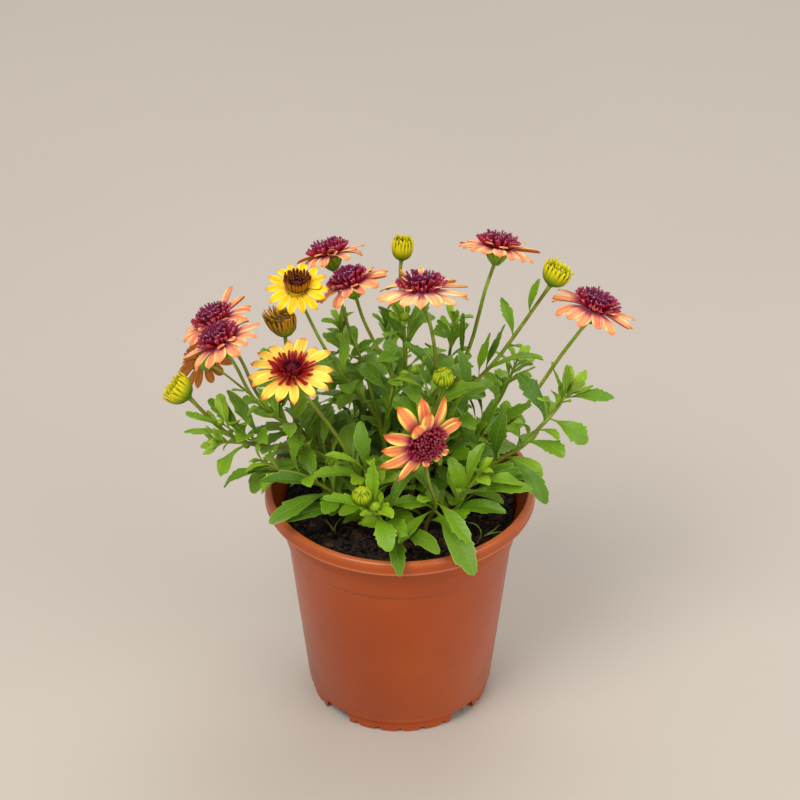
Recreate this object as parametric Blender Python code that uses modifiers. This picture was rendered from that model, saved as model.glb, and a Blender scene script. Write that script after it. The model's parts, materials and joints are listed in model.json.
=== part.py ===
# An osteospermum in bloom in its plastic nursery pot, at its real size.
# The origin is on the pot's axis at the level of its foot, +Z up, and -Y is the front.

import bpy
import bmesh
from math import cos, hypot, pi, radians, sin
from random import Random
from mathutils import Vector
from mathutils.bvhtree import BVHTree

mm = 0.001

# Driving dimensions, in millimetres
lipRadius = 85.0
potHeight = 156.0
potSides = 32
footRadius = 57.0
footHeight = 8.0
soilTop = 141.0
soilFloor = 10.9
rootDepth = 17.0
stemSpacing = 25.0
bladeThickness = 1.4
petalThickness = 0.9
gap = 0.3

up = Vector((0, 0, 1))

# Every open bloom: the middle of its petals, the way it faces, its radius, its petals, the radius
# of its disc of florets, how far the petal tips drop, and its colours
blooms = {
    "bloom_top_right": dict(
        at=(59, 10, 323), face=(0.18, 0.41, 0.89),
        size=24.5, petals=16, disc=12, drop=1.5, tint="orange"),
    "bloom_far_right": dict(
        at=(117, -8, 292), face=(0.33, 0.16, 0.93),
        size=27, petals=16, disc=13.5, drop=3, tint="orange"),
    "bloom_centre": dict(
        at=(13, -5, 303), face=(0, 0.25, 0.95),
        size=29, petals=16, disc=14, drop=3.5, tint="peach"),
    "bloom_back_left": dict(
        at=(-43, 46, 296), face=(-0.27, 0.42, 0.87),
        size=22, petals=16, disc=12, drop=2, tint="orange"),
    "bloom_yellow_small": dict(
        at=(-62, -2, 303), face=(0, -0.43, 0.9),
        size=17.6, petals=14, disc=7.5, drop=1.5, tint="lemon"),
    "bloom_left_centre": dict(
        at=(-30, 18, 293), face=(-0.35, 0.19, 0.92),
        size=23.5, petals=14, disc=11.5, drop=2, tint="orange"),
    "bloom_left_back": dict(
        at=(-113, 14, 268), face=(-0.41, 0.19, 0.89),
        size=24, petals=16, disc=12, drop=2, tint="orange"),
    "bloom_left_front": dict(
        at=(-107, -34, 285), face=(-0.45, 0.15, 0.88),
        size=25, petals=16, disc=12.5, drop=3, tint="orange"),
    "bloom_left_turned": dict(
        at=(-122, 26, 233), face=(-0.55, 0.82, 0.1),
        size=21, petals=14, disc=10, drop=4, tint="bronze"),
    "bloom_yellow_front": dict(
        at=(-65, -42, 269), face=(0.03, -0.24, 0.97),
        size=26.5, petals=16, disc=12, drop=1.5, tint="yellow"),
    "bloom_low_front": dict(
        at=(15, -52, 224), face=(0.45, -0.89, 0.07),
        size=30, petals=12, disc=12, drop=0.5, longWay=(-0.6, 0, 0.8), tint="orange"),
}

# Every bud that shows its petals: the foot of its calyx, the way it faces, its width and height
buds = {
    "bud_top": dict(at=(1, 30, 304), face=(0.05, 0.05, 1), wide=12, tall=13.5, tint="lemon"),
    "bud_right": dict(at=(91, -4, 307), face=(0.42, 0.1, 0.9), wide=15, tall=14, tint="lemon"),
    "bud_far_left": dict(at=(-130, -12, 230), face=(-0.75, 0.02, 0.65), wide=17, tall=15, tint="lemon"),
    "bud_centre": dict(at=(26, -27, 250), face=(0.05, -0.2, 0.97), wide=12.5, tall=11, tint="lemon"),
    "bud_bronze": dict(at=(-71, 22, 254), face=(-0.08, -0.1, 1), wide=17, tall=19, tint="brown"),
    "bud_front": dict(at=(-23, -66, 190), face=(-0.05, -0.15, 0.99), wide=11.5, tall=10.5, tint="lemon"),
}

# Every shoot: its route above the soil, its thickness at the foot and the tip, the rows of leaves
# along it (from, to, how many, first and last length), single leaves (from, tip, half width) and
# side stems, which may carry the same
shoots = {
    "shoot_back_left": dict(
        way=[(-6, 14, 147), (-9, 15, 170), (-14, 17, 196)], thick=(2.3, 1.9),
        rows=[(0.3, 0.9, 4, 34, 32)],
        arms=[
            dict(start=0.9, way=[(-23, 29, 226), (-34, 40, 254)], thick=(1.6, 1.3), head="bloom_back_left",
                 rows=[(0.12, 0.5, 4, 30, 24)]),
            dict(start=0.97, way=[(-27, 13, 216), (-40, 8, 240), (-52, 2, 270)], thick=(1.7, 1.4),
                 head="bloom_yellow_small", rows=[(0.15, 0.42, 3, 32, 26)]),
            dict(start=0.75, way=[(-6, 15, 208), (-4, 15, 226), (-14, 18, 246), (-22, 20, 264)],
                 thick=(1.8, 1.5), head="bloom_left_centre", rows=[(0.25, 0.5, 3, 30, 26)]),
        ]),
    "shoot_far_left": dict(
        way=[(-22, 2, 147), (-34, 1, 160), (-55, 0, 180)], thick=(2.3, 1.9),
        rows=[(0.35, 0.95, 4, 34, 32)],
        arms=[
            dict(start=1.0, way=[(-74, 1, 204), (-88, 3, 221), (-98, 8, 244)], thick=(1.8, 1.5),
                 head="bloom_left_back", rows=[(0.05, 0.5, 4, 32, 26)],
                 arms=[dict(start=0.42, way=[(-100, 11, 223), (-110, 16, 229)], thick=(1.1, 1.0),
                            head="bloom_left_turned")]),
            dict(start=0.95, way=[(-64, -5, 200), (-78, -15, 218), (-90, -27, 241), (-98, -32, 264)],
                 thick=(1.7, 1.5), head="bloom_left_front", rows=[(0.15, 0.5, 4, 30, 22)]),
        ]),
    "shoot_left_low": dict(
        way=[(-20, -12, 147), (-29, -13, 168), (-46, -14, 186), (-66, -16, 195), (-83, -17, 196),
             (-98, -16, 200), (-112, -14, 209)],
        thick=(2.2, 1.7), head="bud_far_left",
        rows=[(0.3, 0.6, 4, 34, 30), (0.62, 0.86, 3, 22, 18)],
        tips=[(0.62, (-91, -32, 176), 6.4), (0.38, (-88, -34, 186), 5), (0.72, (-119, -8, 227), 4.6),
              (0.79, (-132, -16, 219), 3), (0.75, (-133, -24, 212), 2.6), (0.7, (-125, -30, 197), 4),
              (0.66, (-107, -8, 226), 4.4)],
        arms=[
            dict(start=0.64, way=[(-101, -20, 201)], thick=(1.1, 0.9), green=(-115, -24, 204, 6.5),
                 rows=[(0.6, 0.95, 3, 13, 11)]),
            dict(start=0.66, way=[(-100, -20, 208)], thick=(1.0, 0.8), green=(-110, -21, 217, 4)),
        ]),
    "shoot_left_rim": dict(
        way=[(-26, -24, 147), (-38, -31, 168), (-60, -36, 188), (-75, -38, 194), (-86, -36, 200)],
        thick=(2.0, 1.3), rows=[(0.2, 0.5, 2, 32, 30), (0.85, 1.0, 3, 22, 14)],
        tips=[(0.5, (-80, -62, 170), 6.8), (0.56, (-86, -54, 194), 6), (0.85, (-112, -34, 183), 4.6),
              (0.3, (-70, -58, 174), 6), (0.25, (-56, -48, 188), 5.6)]),
    "shoot_front_left": dict(
        way=[(-13, -20, 147), (-24, -29, 180), (-37, -34, 213), (-53, -40, 244)], thick=(2.2, 1.6),
        head="bloom_yellow_front", rows=[(0.12, 0.5, 6, 34, 28)]),
    "shoot_front": dict(
        way=[(16, -34, 147), (22, -42, 170), (18, -45, 188)], thick=(2.3, 1.6), head="bloom_low_front",
        rows=[(0.1, 0.25, 3, 34, 32)],
        tips=[(0.42, (45, -92, 153), 7.6), (0.5, (43, -76, 164), 5), (0.45, (36, -66, 172), 5.6),
              (0.5, (4, -32, 200), 5.6), (0.42, (-3, -50, 178), 5.4), (0.4, (4, -68, 168), 4),
              (0.45, (34, -46, 206), 4.6)]),
    "shoot_mid": dict(
        way=[(8, 4, 147), (13, 3, 180), (19, 0, 210), (22, -5, 252), (18, -5, 280)], thick=(2.2, 1.6),
        head="bloom_centre", rows=[(0.1, 0.5, 6, 34, 30)],
        tips=[(0.62, (5, -10, 270), 4.4), (0.6, (30, -2, 275), 4.4), (0.55, (40, -8, 255), 5)]),
    "shoot_back_mid": dict(
        way=[(3, 24, 147), (3, 27, 180), (3, 27, 234), (2, 28, 260), (0, 30, 290)],
        thick=(2.2, 1.4), head="bud_top", rows=[(0.15, 0.5, 6, 34, 30)],
        tips=[(0.64, (-13, 24, 273), 4), (0.52, (-16, 20, 262), 6), (0.6, (16, 36, 270), 4.4)],
        arms=[dict(start=0.45, way=[(4, 21, 240), (3, 18, 256)], thick=(1.2, 1.1), green=(3, 16, 270, 6.5))]),
    "shoot_right_high": dict(
        way=[(17, 14, 147), (22, 14, 180), (34, 13, 222), (44, 12, 255), (52, 10, 294)], thick=(2.2, 1.5),
        head="bloom_top_right", rows=[(0.12, 0.5, 7, 34, 28)],
        tips=[(0.58, (41, 8, 279), 3), (0.54, (58, 14, 266), 3.4)]),
    "shoot_right": dict(
        way=[(27, 3, 147), (36, 0, 168), (50, -4, 188), (73, -8, 214), (98, -6, 256)], thick=(2.2, 1.6),
        head="bloom_far_right", rows=[(0.1, 0.38, 4, 34, 32)],
        tips=[(0.4, (83, -16, 226), 4.4), (0.38, (60, -8, 229), 4.4), (0.36, (52, -12, 212), 4)]),
    "shoot_right_bud": dict(
        way=[(20, -6, 147), (26, -3, 180), (34, -2, 216), (46, -4, 235), (59, -4, 252), (71, -4, 272)],
        thick=(2.2, 1.6), head="bud_right",
        rows=[(0.15, 0.5, 5, 34, 30), (0.56, 0.78, 2, 18, 16)],
        tips=[(0.62, (87, -8, 262), 4.2), (0.6, (57, -8, 274), 3.4), (0.63, (66, 0, 274), 3.4),
              (0.78, (61, -2, 296), 4), (0.88, (84, -8, 314), 3), (0.52, (42, -12, 264), 5.6)]),
    "shoot_right_low": dict(
        way=[(30, -9, 147), (42, -11, 164), (60, -13, 182), (76, -16, 196), (86, -14, 208), (96, -10, 219)],
        thick=(2.3, 1.7), green=(105, -6, 234, 9),
        rows=[(0.15, 0.5, 4, 34, 32), (0.6, 0.85, 2, 30, 26), (0.95, 0.99, 3, 16, 14)],
        tips=[(0.82, (116, -26, 205), 6.4), (0.93, (131, -10, 227), 5), (0.8, (128, 6, 211), 6.4),
              (0.56, (92, -44, 172), 5.6), (0.8, (72, -8, 240), 6), (0.5, (65, -24, 229), 6.4),
              (0.4, (76, -36, 184), 6.4), (0.94, (100, -8, 256), 4), (0.96, (111, -4, 258), 5),
              (0.96, (118, -10, 247), 4)]),
    "shoot_centre": dict(
        way=[(5, -13, 147), (10, -18, 180), (17, -24, 213), (24, -27, 240)],
        thick=(2.0, 1.5), head="bud_centre", rows=[(0.15, 0.7, 6, 34, 26)],
        tips=[(0.78, (42, -30, 266), 6.4), (0.7, (2, -24, 262), 5.4), (0.85, (26, -20, 270), 4)],
        arms=[dict(start=0.72, way=[(17, -20, 240)], thick=(1.1, 0.9), green=(10, -12, 250, 6))]),
    "shoot_front_low": dict(
        way=[(-4, -38, 147), (-7, -52, 158), (-12, -60, 172), (-20, -64, 184)],
        thick=(2.1, 1.5), head="bud_front", rows=[(0.1, 0.5, 2, 26, 24)],
        tips=[(0.8, (-47, -76, 199), 5), (0.62, (1, -84, 180), 6.2), (0.3, (24, -86, 165), 6.4),
              (0.35, (9, -97, 156), 5.4), (0.6, (8, -54, 200), 6), (0.85, (-19, -56, 213), 5),
              (0.85, (-32, -66, 213), 3.2), (0.7, (-7, -60, 205), 3)],
        arms=[dict(start=0.7, way=[], thick=(1.0, 0.9), green=(-15, -69, 188, 6.5))]),
    "shoot_left_bud": dict(
        way=[(-24, 14, 147), (-42, 15, 166), (-64, 14, 190), (-68, 18, 212), (-70, 21, 236)],
        thick=(2.1, 1.5), head="bud_bronze", rows=[(0.2, 0.72, 8, 34, 26)]),
    "shoot_fresh_right": dict(
        way=[(28, -26, 147), (36, -36, 164), (42, -42, 182), (50, -46, 198)], thick=(2.0, 1.3),
        rows=[(0.9, 0.99, 4, 17, 11)],
        tips=[(0.7, (81, -50, 186), 6.4), (0.62, (31, -40, 209), 6), (0.75, (49, -38, 215), 4.6),
              (0.85, (62, -42, 212), 5.4), (0.8, (70, -44, 202), 4.6), (0.55, (78, -38, 190), 5),
              (0.5, (52, -66, 184), 5), (0.4, (64, -52, 174), 5.4)]),
    "shoot_rosette": dict(
        way=[(-12, -28, 147), (-18, -36, 170), (-21, -42, 192), (-20, -44, 207)], thick=(2.0, 1.3),
        rows=[(0.3, 0.7, 3, 32, 28), (0.9, 0.99, 4, 17, 11)],
        tips=[(0.7, (-52, -54, 205), 6.6), (0.85, (-44, -48, 216), 4), (0.85, (-26, -42, 231), 5),
              (0.85, (-13, -38, 231), 4.6)]),
    "shoot_behind_left": dict(
        way=[(-12, 26, 147), (-20, 33, 172), (-32, 40, 212), (-38, 44, 246)], thick=(2.2, 1.3),
        rows=[(0.2, 0.84, 7, 34, 27), (0.92, 0.99, 4, 19, 14)]),
    "shoot_behind_mid": dict(
        way=[(-2, 38, 147), (0, 48, 172), (-6, 62, 210), (-10, 68, 232)], thick=(2.2, 1.3),
        rows=[(0.15, 0.84, 7, 34, 27), (0.92, 0.99, 4, 19, 14)]),
    "shoot_behind_right": dict(
        way=[(14, 30, 147), (22, 38, 175), (30, 44, 215), (34, 46, 248)], thick=(2.2, 1.3),
        rows=[(0.2, 0.84, 7, 34, 27), (0.92, 0.99, 4, 19, 14)]),
    "shoot_far_right": dict(
        way=[(28, 20, 147), (42, 30, 166), (62, 40, 190), (74, 44, 220)], thick=(2.2, 1.3),
        rows=[(0.15, 0.84, 7, 34, 27), (0.92, 0.99, 4, 19, 14)]),
    "shoot_behind_far_left": dict(
        way=[(-26, 28, 147), (-44, 38, 166), (-70, 46, 188), (-84, 48, 214)], thick=(2.2, 1.3),
        rows=[(0.2, 0.84, 7, 34, 27), (0.92, 0.99, 4, 19, 14)]),
    "shoot_over_back_rim": dict(
        way=[(12, 46, 147), (18, 60, 160), (26, 76, 172), (32, 84, 182)], thick=(2.1, 1.3),
        rows=[(0.3, 0.84, 5, 30, 26), (0.92, 0.99, 3, 19, 14)],
        tips=[(0.7, (20, 97, 160), 5.6)]),
    "shoot_low_back_left": dict(
        way=[(-16, 42, 147), (-28, 56, 162), (-42, 68, 176), (-52, 72, 190)], thick=(2.1, 1.3),
        rows=[(0.3, 0.84, 5, 30, 26), (0.92, 0.99, 3, 19, 14)]),
}

# Half widths of the blades along their length: a large leaf with two teeth a side, a leaf with
# one and a young leaf
leafEdge = ((0, 0.16), (0.6, 1.0), (0.68, 0.74), (0.85, 0.64), (1, 0))
rowEdge = ((0, 0.16), (0.64, 1.0), (0.74, 0.68), (1, 0))
youngEdge = ((0, 0.2), (0.6, 1.0), (1, 0))


def smoothWay(points, spacing):
    # a curve through the points, in metres, with a point about every spacing millimetres
    knots = [Vector(p) for p in points]
    knots = [knots[0] * 2 - knots[1]] + knots + [knots[-1] * 2 - knots[-2]]
    way = []
    for a, b, c, d in zip(knots, knots[1:], knots[2:], knots[3:]):
        count = max(1, round((c - b).length / spacing))
        for k in range(count):
            t = k / count
            bend = (a * 2 - b * 5 + c * 4 - d) * t * t + (b * 3 - a - c * 3 + d) * t ** 3
            way.append((b * 2 + (c - a) * t + bend) * mm / 2)
    return way + [knots[-2] * mm]


def along(way, share):
    # the point and the direction at a share of the curve's length
    lengths = [(b - a).length for a, b in zip(way, way[1:])]
    left = share * sum(lengths)
    for a, b, length in zip(way, way[1:], lengths):
        if left <= length:
            break
        left -= length
    return a.lerp(b, min(1, left / length)), (b - a).normalized()


def headFrame(face):
    # the turn that lays +Z along face
    return Vector(face).to_track_quat("Z", "Y").to_matrix()


def bladeAt(blade, t):
    # the point, the normal and the side of a blade at a share of its length
    root, tip, lift = blade["root"], blade["tip"], blade["lift"]
    chord = (tip - root).normalized()
    rise = (blade["up"] - chord * blade["up"].dot(chord)).normalized()
    middle = (root + tip) / 2 + rise * lift * 2
    point = root * (1 - t) ** 2 + middle * 2 * t * (1 - t) + tip * t * t
    ahead = ((middle - root) * (1 - t) + (tip - middle) * t).normalized()
    normal = (rise - ahead * rise.dot(ahead)).normalized()
    normal = (normal + ahead.cross(normal) * blade.get("twist", 0) * t).normalized()
    return point, normal, ahead.cross(normal)


def bladeMesh(blade, grow=0, start=0):
    # a closed blade of three long faces: flat above, keeled below, cut by the same lines on each
    edge = blade["edge"]
    if start:
        (t, w), (nextT, nextW) = edge[0], edge[1]
        edge = ((start, w + (nextW - w) * start / nextT),) + edge[1:]
    verts = []
    for t, width in edge:
        point, normal, side = bladeAt(blade, t)
        if width == 0:
            verts.append(point)
            continue
        wide = side * (blade["half"] * width + grow)
        verts += [point - wide + normal * grow, point + wide + normal * grow,
                  point - normal * (blade["thick"] * (0.5 if t == 1 else 1) + grow)]
    faces = [(0, 1, 2)]
    for a in range(0, len(verts) - 3, 3):
        b = a + 3
        if b + 1 == len(verts):
            return verts, faces + [(a, b, a + 1), (a + 1, b, a + 2), (a + 2, b, a)]
        faces += [(a, b, a + 1), (b, b + 1, a + 1), (a + 1, b + 1, a + 2), (b + 1, b + 2, a + 2),
                  (a, a + 2, b), (a + 2, b + 2, b)]
    return verts, faces + [(len(verts) - 3, len(verts) - 1, len(verts) - 2)]


def turned(profile, sides, frame=None, at=Vector()):
    # a closed solid turned round +Z from points (radius, height) in millimetres, top middle first
    verts, faces, rings = [], [], []
    for radius, height in profile:
        count = 1 if radius == 0 else sides
        rings.append(range(len(verts), len(verts) + count))
        for k in range(count):
            angle = 2 * pi * k / sides
            verts.append(Vector((radius * cos(angle), radius * sin(angle), height)) * mm)
    for high, low in zip(rings, rings[1:]):
        for k in range(sides):
            after = k + 1
            ring = [high[k % len(high)], low[k % len(low)], low[after % len(low)], high[after % len(high)]]
            faces.append(tuple(dict.fromkeys(ring)))
    if frame:
        verts = [at + frame @ v for v in verts]
    return verts, faces


def petalBlades(bloom):
    # the petals of a bloom, side by side: none is wide enough to touch the next
    frame = headFrame(bloom["face"])
    centre = Vector(bloom["at"]) * mm
    count = bloom["petals"]
    draw = Random(count * 7 + int(bloom["size"] * 10))
    blades = []
    for k in range(count):
        angle = 2 * pi * (k + draw.uniform(-0.03, 0.03)) / count
        ray = Vector((cos(angle), sin(angle), 0))
        reach = bloom["size"] * draw.uniform(0.95, 1.03)
        if "longWay" in bloom:
            reach *= 0.74 + 0.26 * (frame @ ray).dot(Vector(bloom["longWay"]))
        level = 0.5 if k % 2 else -0.5
        drop = bloom["drop"] * draw.uniform(0.5, 1.5)
        blades.append(dict(
            root=centre + frame @ ray * 6.3 * mm,
            tip=centre + frame @ (ray * reach + up * (level - drop)) * mm,
            lift=0.05 * reach * mm, up=frame @ up, half=0.88 * pi / count * (1.9 + 0.7 * reach) * mm,
            twist=draw.uniform(-0.15, 0.15)))
    return blades


def petalsMesh(bloom):
    # a round hub whose sides are each drawn out into a petal, widest at three quarters
    frame = headFrame(bloom["face"])
    centre = Vector(bloom["at"]) * mm
    count = bloom["petals"]
    verts, faces = [], []
    for height in (0.7, -1.2):
        for k in range(count):
            angle = 2 * pi * (k - 0.5) / count
            verts.append(centre + frame @ Vector((6.3 * cos(angle), 6.3 * sin(angle), height)) * mm)
    faces += [tuple(range(count)), tuple(range(2 * count - 1, count - 1, -1))]
    for k, blade in enumerate(petalBlades(bloom)):
        ring = (k, (k + 1) % count, count + (k + 1) % count, count + k)
        for t, width in ((0.7, 1), (1, 0.45)):
            point, normal, side = bladeAt(blade, t)
            side = side * blade["half"] * width
            thick = normal * petalThickness / 2 * mm
            first = len(verts)
            verts += [point - side + thick, point + side + thick, point + side - thick, point - side - thick]
            if (verts[first] - verts[ring[0]]).length > (verts[first + 1] - verts[ring[0]]).length:
                verts[first:] = [verts[first + 1], verts[first], verts[first + 3], verts[first + 2]]
            # the upper and the lower face are split along the same line
            a, b, c, d = ring
            e, f, g, h = range(first, first + 4)
            faces += [(a, b, f), (a, f, e), (b, c, g), (b, g, f), (c, d, g), (d, h, g), (d, a, e), (d, e, h)]
            ring = (e, f, g, h)
        faces.append(ring)
    return verts, faces


def discMesh(bloom):
    # the crown of florets: narrow where it meets the petals, spread and ridged above them
    wide = bloom["disc"]
    high = 4.5 + wide * 0.22
    sides = 12
    profile = [(0, high * 0.86), (wide * 0.42, high), (wide * 0.76, high * 1.02), (wide, high * 0.74),
               (5.4, 1 + gap), (0, 1 + gap)]
    verts, faces = turned(profile, sides)
    draw = Random(int(wide * 20))
    frame = headFrame(bloom["face"])
    for k, v in enumerate(verts):
        ring, step = divmod(k - 1, sides)
        if k and ring < 3:
            push = 1.1 if (step + ring) % 2 else 0.86
            v = Vector((v.x * push, v.y * push, v.z * (1.07 if (step + ring) % 2 else 0.92)))
            v.z += draw.uniform(-0.3, 0.3) * mm
        verts[k] = Vector(bloom["at"]) * mm + frame @ v
    return verts, faces


def calyxMesh(head):
    # the green cup under a bloom or round the lower half of a bud
    if "size" in head:
        profile = [(0, -1.2 - gap), (6.1, -1.2 - gap), (4.8, -4.4), (1.9, -8.6), (0, -8.6)]
    else:
        wide, tall = head["wide"], head["tall"]
        profile = [(0, tall / 2), (wide * 0.47, tall / 2), (wide * 0.4, tall * 0.22),
                   (1.8, -1.2), (0, -1.2)]
    return turned(profile, 8, headFrame(head["face"]), Vector(head["at"]) * mm)


def budMesh(bud):
    # the petals of an opening bud: a ribbed dome over the flat top of its calyx
    wide, tall = bud["wide"], bud["tall"]
    profile = [(0, tall * 0.93), (wide * 0.2, tall), (wide * 0.38, tall * 0.84), (wide * 0.46, tall * 0.6),
               (wide * 0.42, tall / 2 + gap), (0, tall / 2 + gap)]
    sides = 12
    verts, faces = turned(profile, sides)
    frame = headFrame(bud["face"])
    for k, v in enumerate(verts):
        ring, step = divmod(k - 1, sides)
        if k and ring < 3:
            push = 1.06 if step % 2 else 0.9
            v = Vector((v.x * push, v.y * push, v.z))
        verts[k] = Vector(bud["at"]) * mm + frame @ v
    return verts, faces


def greenMesh(x, y, z, size, face):
    # a closed green bud
    profile = [(0, size * 0.55), (size * 0.42, size * 0.2), (size * 0.4, size * -0.25), (0, size * -0.5)]
    return turned(profile, 6, headFrame(face), Vector((x, y, z)) * mm)


def sleeve(way, radii, sides=6):
    # the skin of a stem round its route
    verts, faces = [], []
    for k, point in enumerate(way):
        ahead = (way[min(k + 1, len(way) - 1)] - way[max(k - 1, 0)]).normalized()
        frame = headFrame(ahead)
        radius = radii[0] + (radii[1] - radii[0]) * k / (len(way) - 1)
        for i in range(sides):
            angle = 2 * pi * i / sides
            verts.append(point + frame @ Vector((cos(angle), sin(angle), 0)) * radius * 1.15 * mm)
        if k:
            a = (k - 1) * sides
            for i in range(sides):
                j = (i + 1) % sides
                faces.append((a + i, a + j, a + sides + j, a + sides + i))
    return verts, faces


standing = []


def note(kind, stem, mesh):
    # remembers what already stands, so that later leaves keep clear of it
    verts, faces = mesh
    low = [min(v[i] for v in verts) for i in range(3)]
    high = [max(v[i] for v in verts) for i in range(3)]
    standing.append((kind, stem, low, high, BVHTree.FromPolygons(verts, faces)))


def clear(stem, blade):
    # whether a blade passes everything but the stem that it grows from
    verts, faces = bladeMesh(blade, 0.5 * mm, 0.07)
    if any(hypot(v.x, v.y) < 76 * mm and v.z < (soilTop + 4.5) * mm for v in verts):
        return False
    low = [min(v[i] for v in verts) for i in range(3)]
    high = [max(v[i] for v in verts) for i in range(3)]
    tree = BVHTree.FromPolygons(verts, faces)
    for kind, other, far, near, shape in standing:
        if kind == "stem" and other is stem:
            continue
        if any(high[i] < far[i] or low[i] > near[i] for i in range(3)):
            continue
        if tree.overlap(shape):
            return False
    return True


def grow(stem, start=None):
    # the route of a stem and of its side stems
    points = list(stem["way"])
    if start:
        points = [tuple(start / mm)] + points
    head = stem.get("head")
    if head in blooms:
        bloom = blooms[head]
        points.append(tuple(Vector(bloom["at"]) - Vector(bloom["face"]).normalized() * 7.5))
    elif head:
        points.append(tuple(Vector(buds[head]["at"]) - Vector(buds[head]["face"]).normalized() * 0.5))
    elif "green" in stem:
        points.append(stem["green"][:3])
    stem["route"] = smoothWay(points, stemSpacing)
    if not start:
        stem["route"].insert(0, stem["route"][0] - up * (147 - soilTop + rootDepth) * mm)
    stem["meshes"] = []
    stem["blades"] = []
    note("stem", stem, sleeve(stem["route"], stem["thick"]))
    if head:
        stem["meshes"].append(calyxMesh(blooms.get(head) or buds[head]))
    elif "green" in stem:
        face = stem["route"][-1] - stem["route"][-2]
        stem["meshes"].append(greenMesh(*stem["green"], face))
    for mesh in stem["meshes"]:
        note("head", stem, mesh)
    for arm in stem.get("arms", []):
        grow(arm, along(stem["route"], arm["start"])[0])


def everyStem(stem):
    # a stem and all that grow from it
    return [stem] + [each for arm in stem.get("arms", []) for each in everyStem(arm)]


def leafBlade(root, tip, half, way, edge):
    length = (tip - root).length
    return dict(root=root, tip=tip, lift=length * 0.12, up=way, half=half, thick=bladeThickness * mm,
                edge=edge)


nudges = [(0, 0, 0), (0, 0, 5), (0, 0, -5), (5, 0, 0), (-5, 0, 0), (0, -6, 0), (0, 6, 0), (5, 0, 6),
          (-5, 0, 6), (5, -5, -5), (-5, -5, -5), (0, -6, 8), (0, 6, 8), (9, 0, 0), (-9, 0, 0), (0, 0, 11),
          (9, 0, 9), (-9, 0, 9), (0, 9, 12), (0, -9, 12)]


def growTips(stem):
    # the single leaves: each keeps its tip as near as it can
    for share, tip, half in stem.get("tips", []):
        root, ahead = along(stem["route"], share)
        for nudge in nudges:
            end = (Vector(tip) + Vector(nudge)) * mm
            way = up * 0.9 + (end - root).normalized() * 0.2 - Vector((0, 0.35, 0))
            edge = leafEdge if (end - root).length > 21 * mm else youngEdge
            blade = leafBlade(root, end, half * mm, way, edge)
            if clear(stem, blade):
                stem["blades"].append(blade)
                note("leaf", stem, bladeMesh(blade))
                break


def spoke(ahead, angle):
    # a direction square to ahead
    across = Vector((1, 0, 0)) if abs(ahead.x) < 0.7 else up
    across = (across - ahead * ahead.dot(across)).normalized()
    return across * cos(angle) + ahead.cross(across) * sin(angle)


def growRows(stem, draw):
    # the rows of leaves: each takes the first free place near its own
    turn = draw.uniform(0, 360)
    for first, last, count, longest, shortest in stem.get("rows", []):
        for k in range(count):
            turn += 137.5
            root, ahead = along(stem["route"], first + (last - first) * (k + 0.5) / count)
            length = longest + (shortest - longest) * k / max(1, count - 1)
            length *= draw.uniform(0.92, 1.06)
            slope = (60 if length > 21 else 40) + draw.uniform(-8, 8)
            slim = draw.uniform(0.2, 0.25)
            tries = [(scale, swing, shift) for scale in (1, 0.84, 0.7) for swing in (0, -14, 14)
                     for shift in (0, 24, -24, 48, -48, 75, -75, 110, -110, 150)]
            for scale, swing, shift in tries:
                lean = radians(slope + swing)
                way = ahead * cos(lean) + spoke(ahead, radians(turn + shift)) * sin(lean) + up * 0.12
                tip = root + way.normalized() * length * scale * mm
                blade = leafBlade(root, tip, length * scale * slim * mm, up * 0.9 + ahead * 0.5,
                                  rowEdge if length > 21 else youngEdge)
                if clear(stem, blade):
                    stem["blades"].append(blade)
                    note("leaf", stem, bladeMesh(blade))
                    break


def layOut():
    # the whole plant: stems and heads first, then single leaves, then rows
    rim = [(77, 143.5), (78.4, 150), (80.2, 155), (82.3, 156.8), (84.8, 156), (86, 152.5), (85.6, 147),
           (84, 143.5)]
    note("pot", None, turned(rim, potSides))
    for bloom in blooms.values():
        note("petals", None, petalsMesh(bloom))
        note("disc", None, discMesh(bloom))
    for bud in buds.values():
        note("bud", None, budMesh(bud))
    for shoot in shoots.values():
        grow(shoot)
    for step in (growTips, growRows):
        for number, shoot in enumerate(shoots.values()):
            draw = Random(number + 11)
            for stem in everyStem(shoot):
                step(stem) if step is growTips else step(stem, draw)


# Building the solids

def collectionOf(name):
    collection = bpy.data.collections.new(name)
    bpy.context.scene.collection.children.link(collection)
    return collection


def material(name, colour, roughness, metallic=0.0):
    made = bpy.data.materials.new(name)
    made.use_nodes = True
    shader = made.node_tree.nodes["Principled BSDF"]
    shader.inputs["Base Color"].default_value = (*colour, 1)
    shader.inputs["Roughness"].default_value = roughness
    shader.inputs["Metallic"].default_value = metallic
    return made


def solid(name, mesh, collection):
    # a closed mesh object with its faces outwards
    data = bpy.data.meshes.new(name)
    data.from_pydata([tuple(v) for v in mesh[0]], [], mesh[1])
    shape = bmesh.new()
    shape.from_mesh(data)
    bmesh.ops.recalc_face_normals(shape, faces=shape.faces)
    shape.to_mesh(data)
    shape.free()
    made = bpy.data.objects.new(name, data)
    collection.objects.link(made)
    return made


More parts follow.
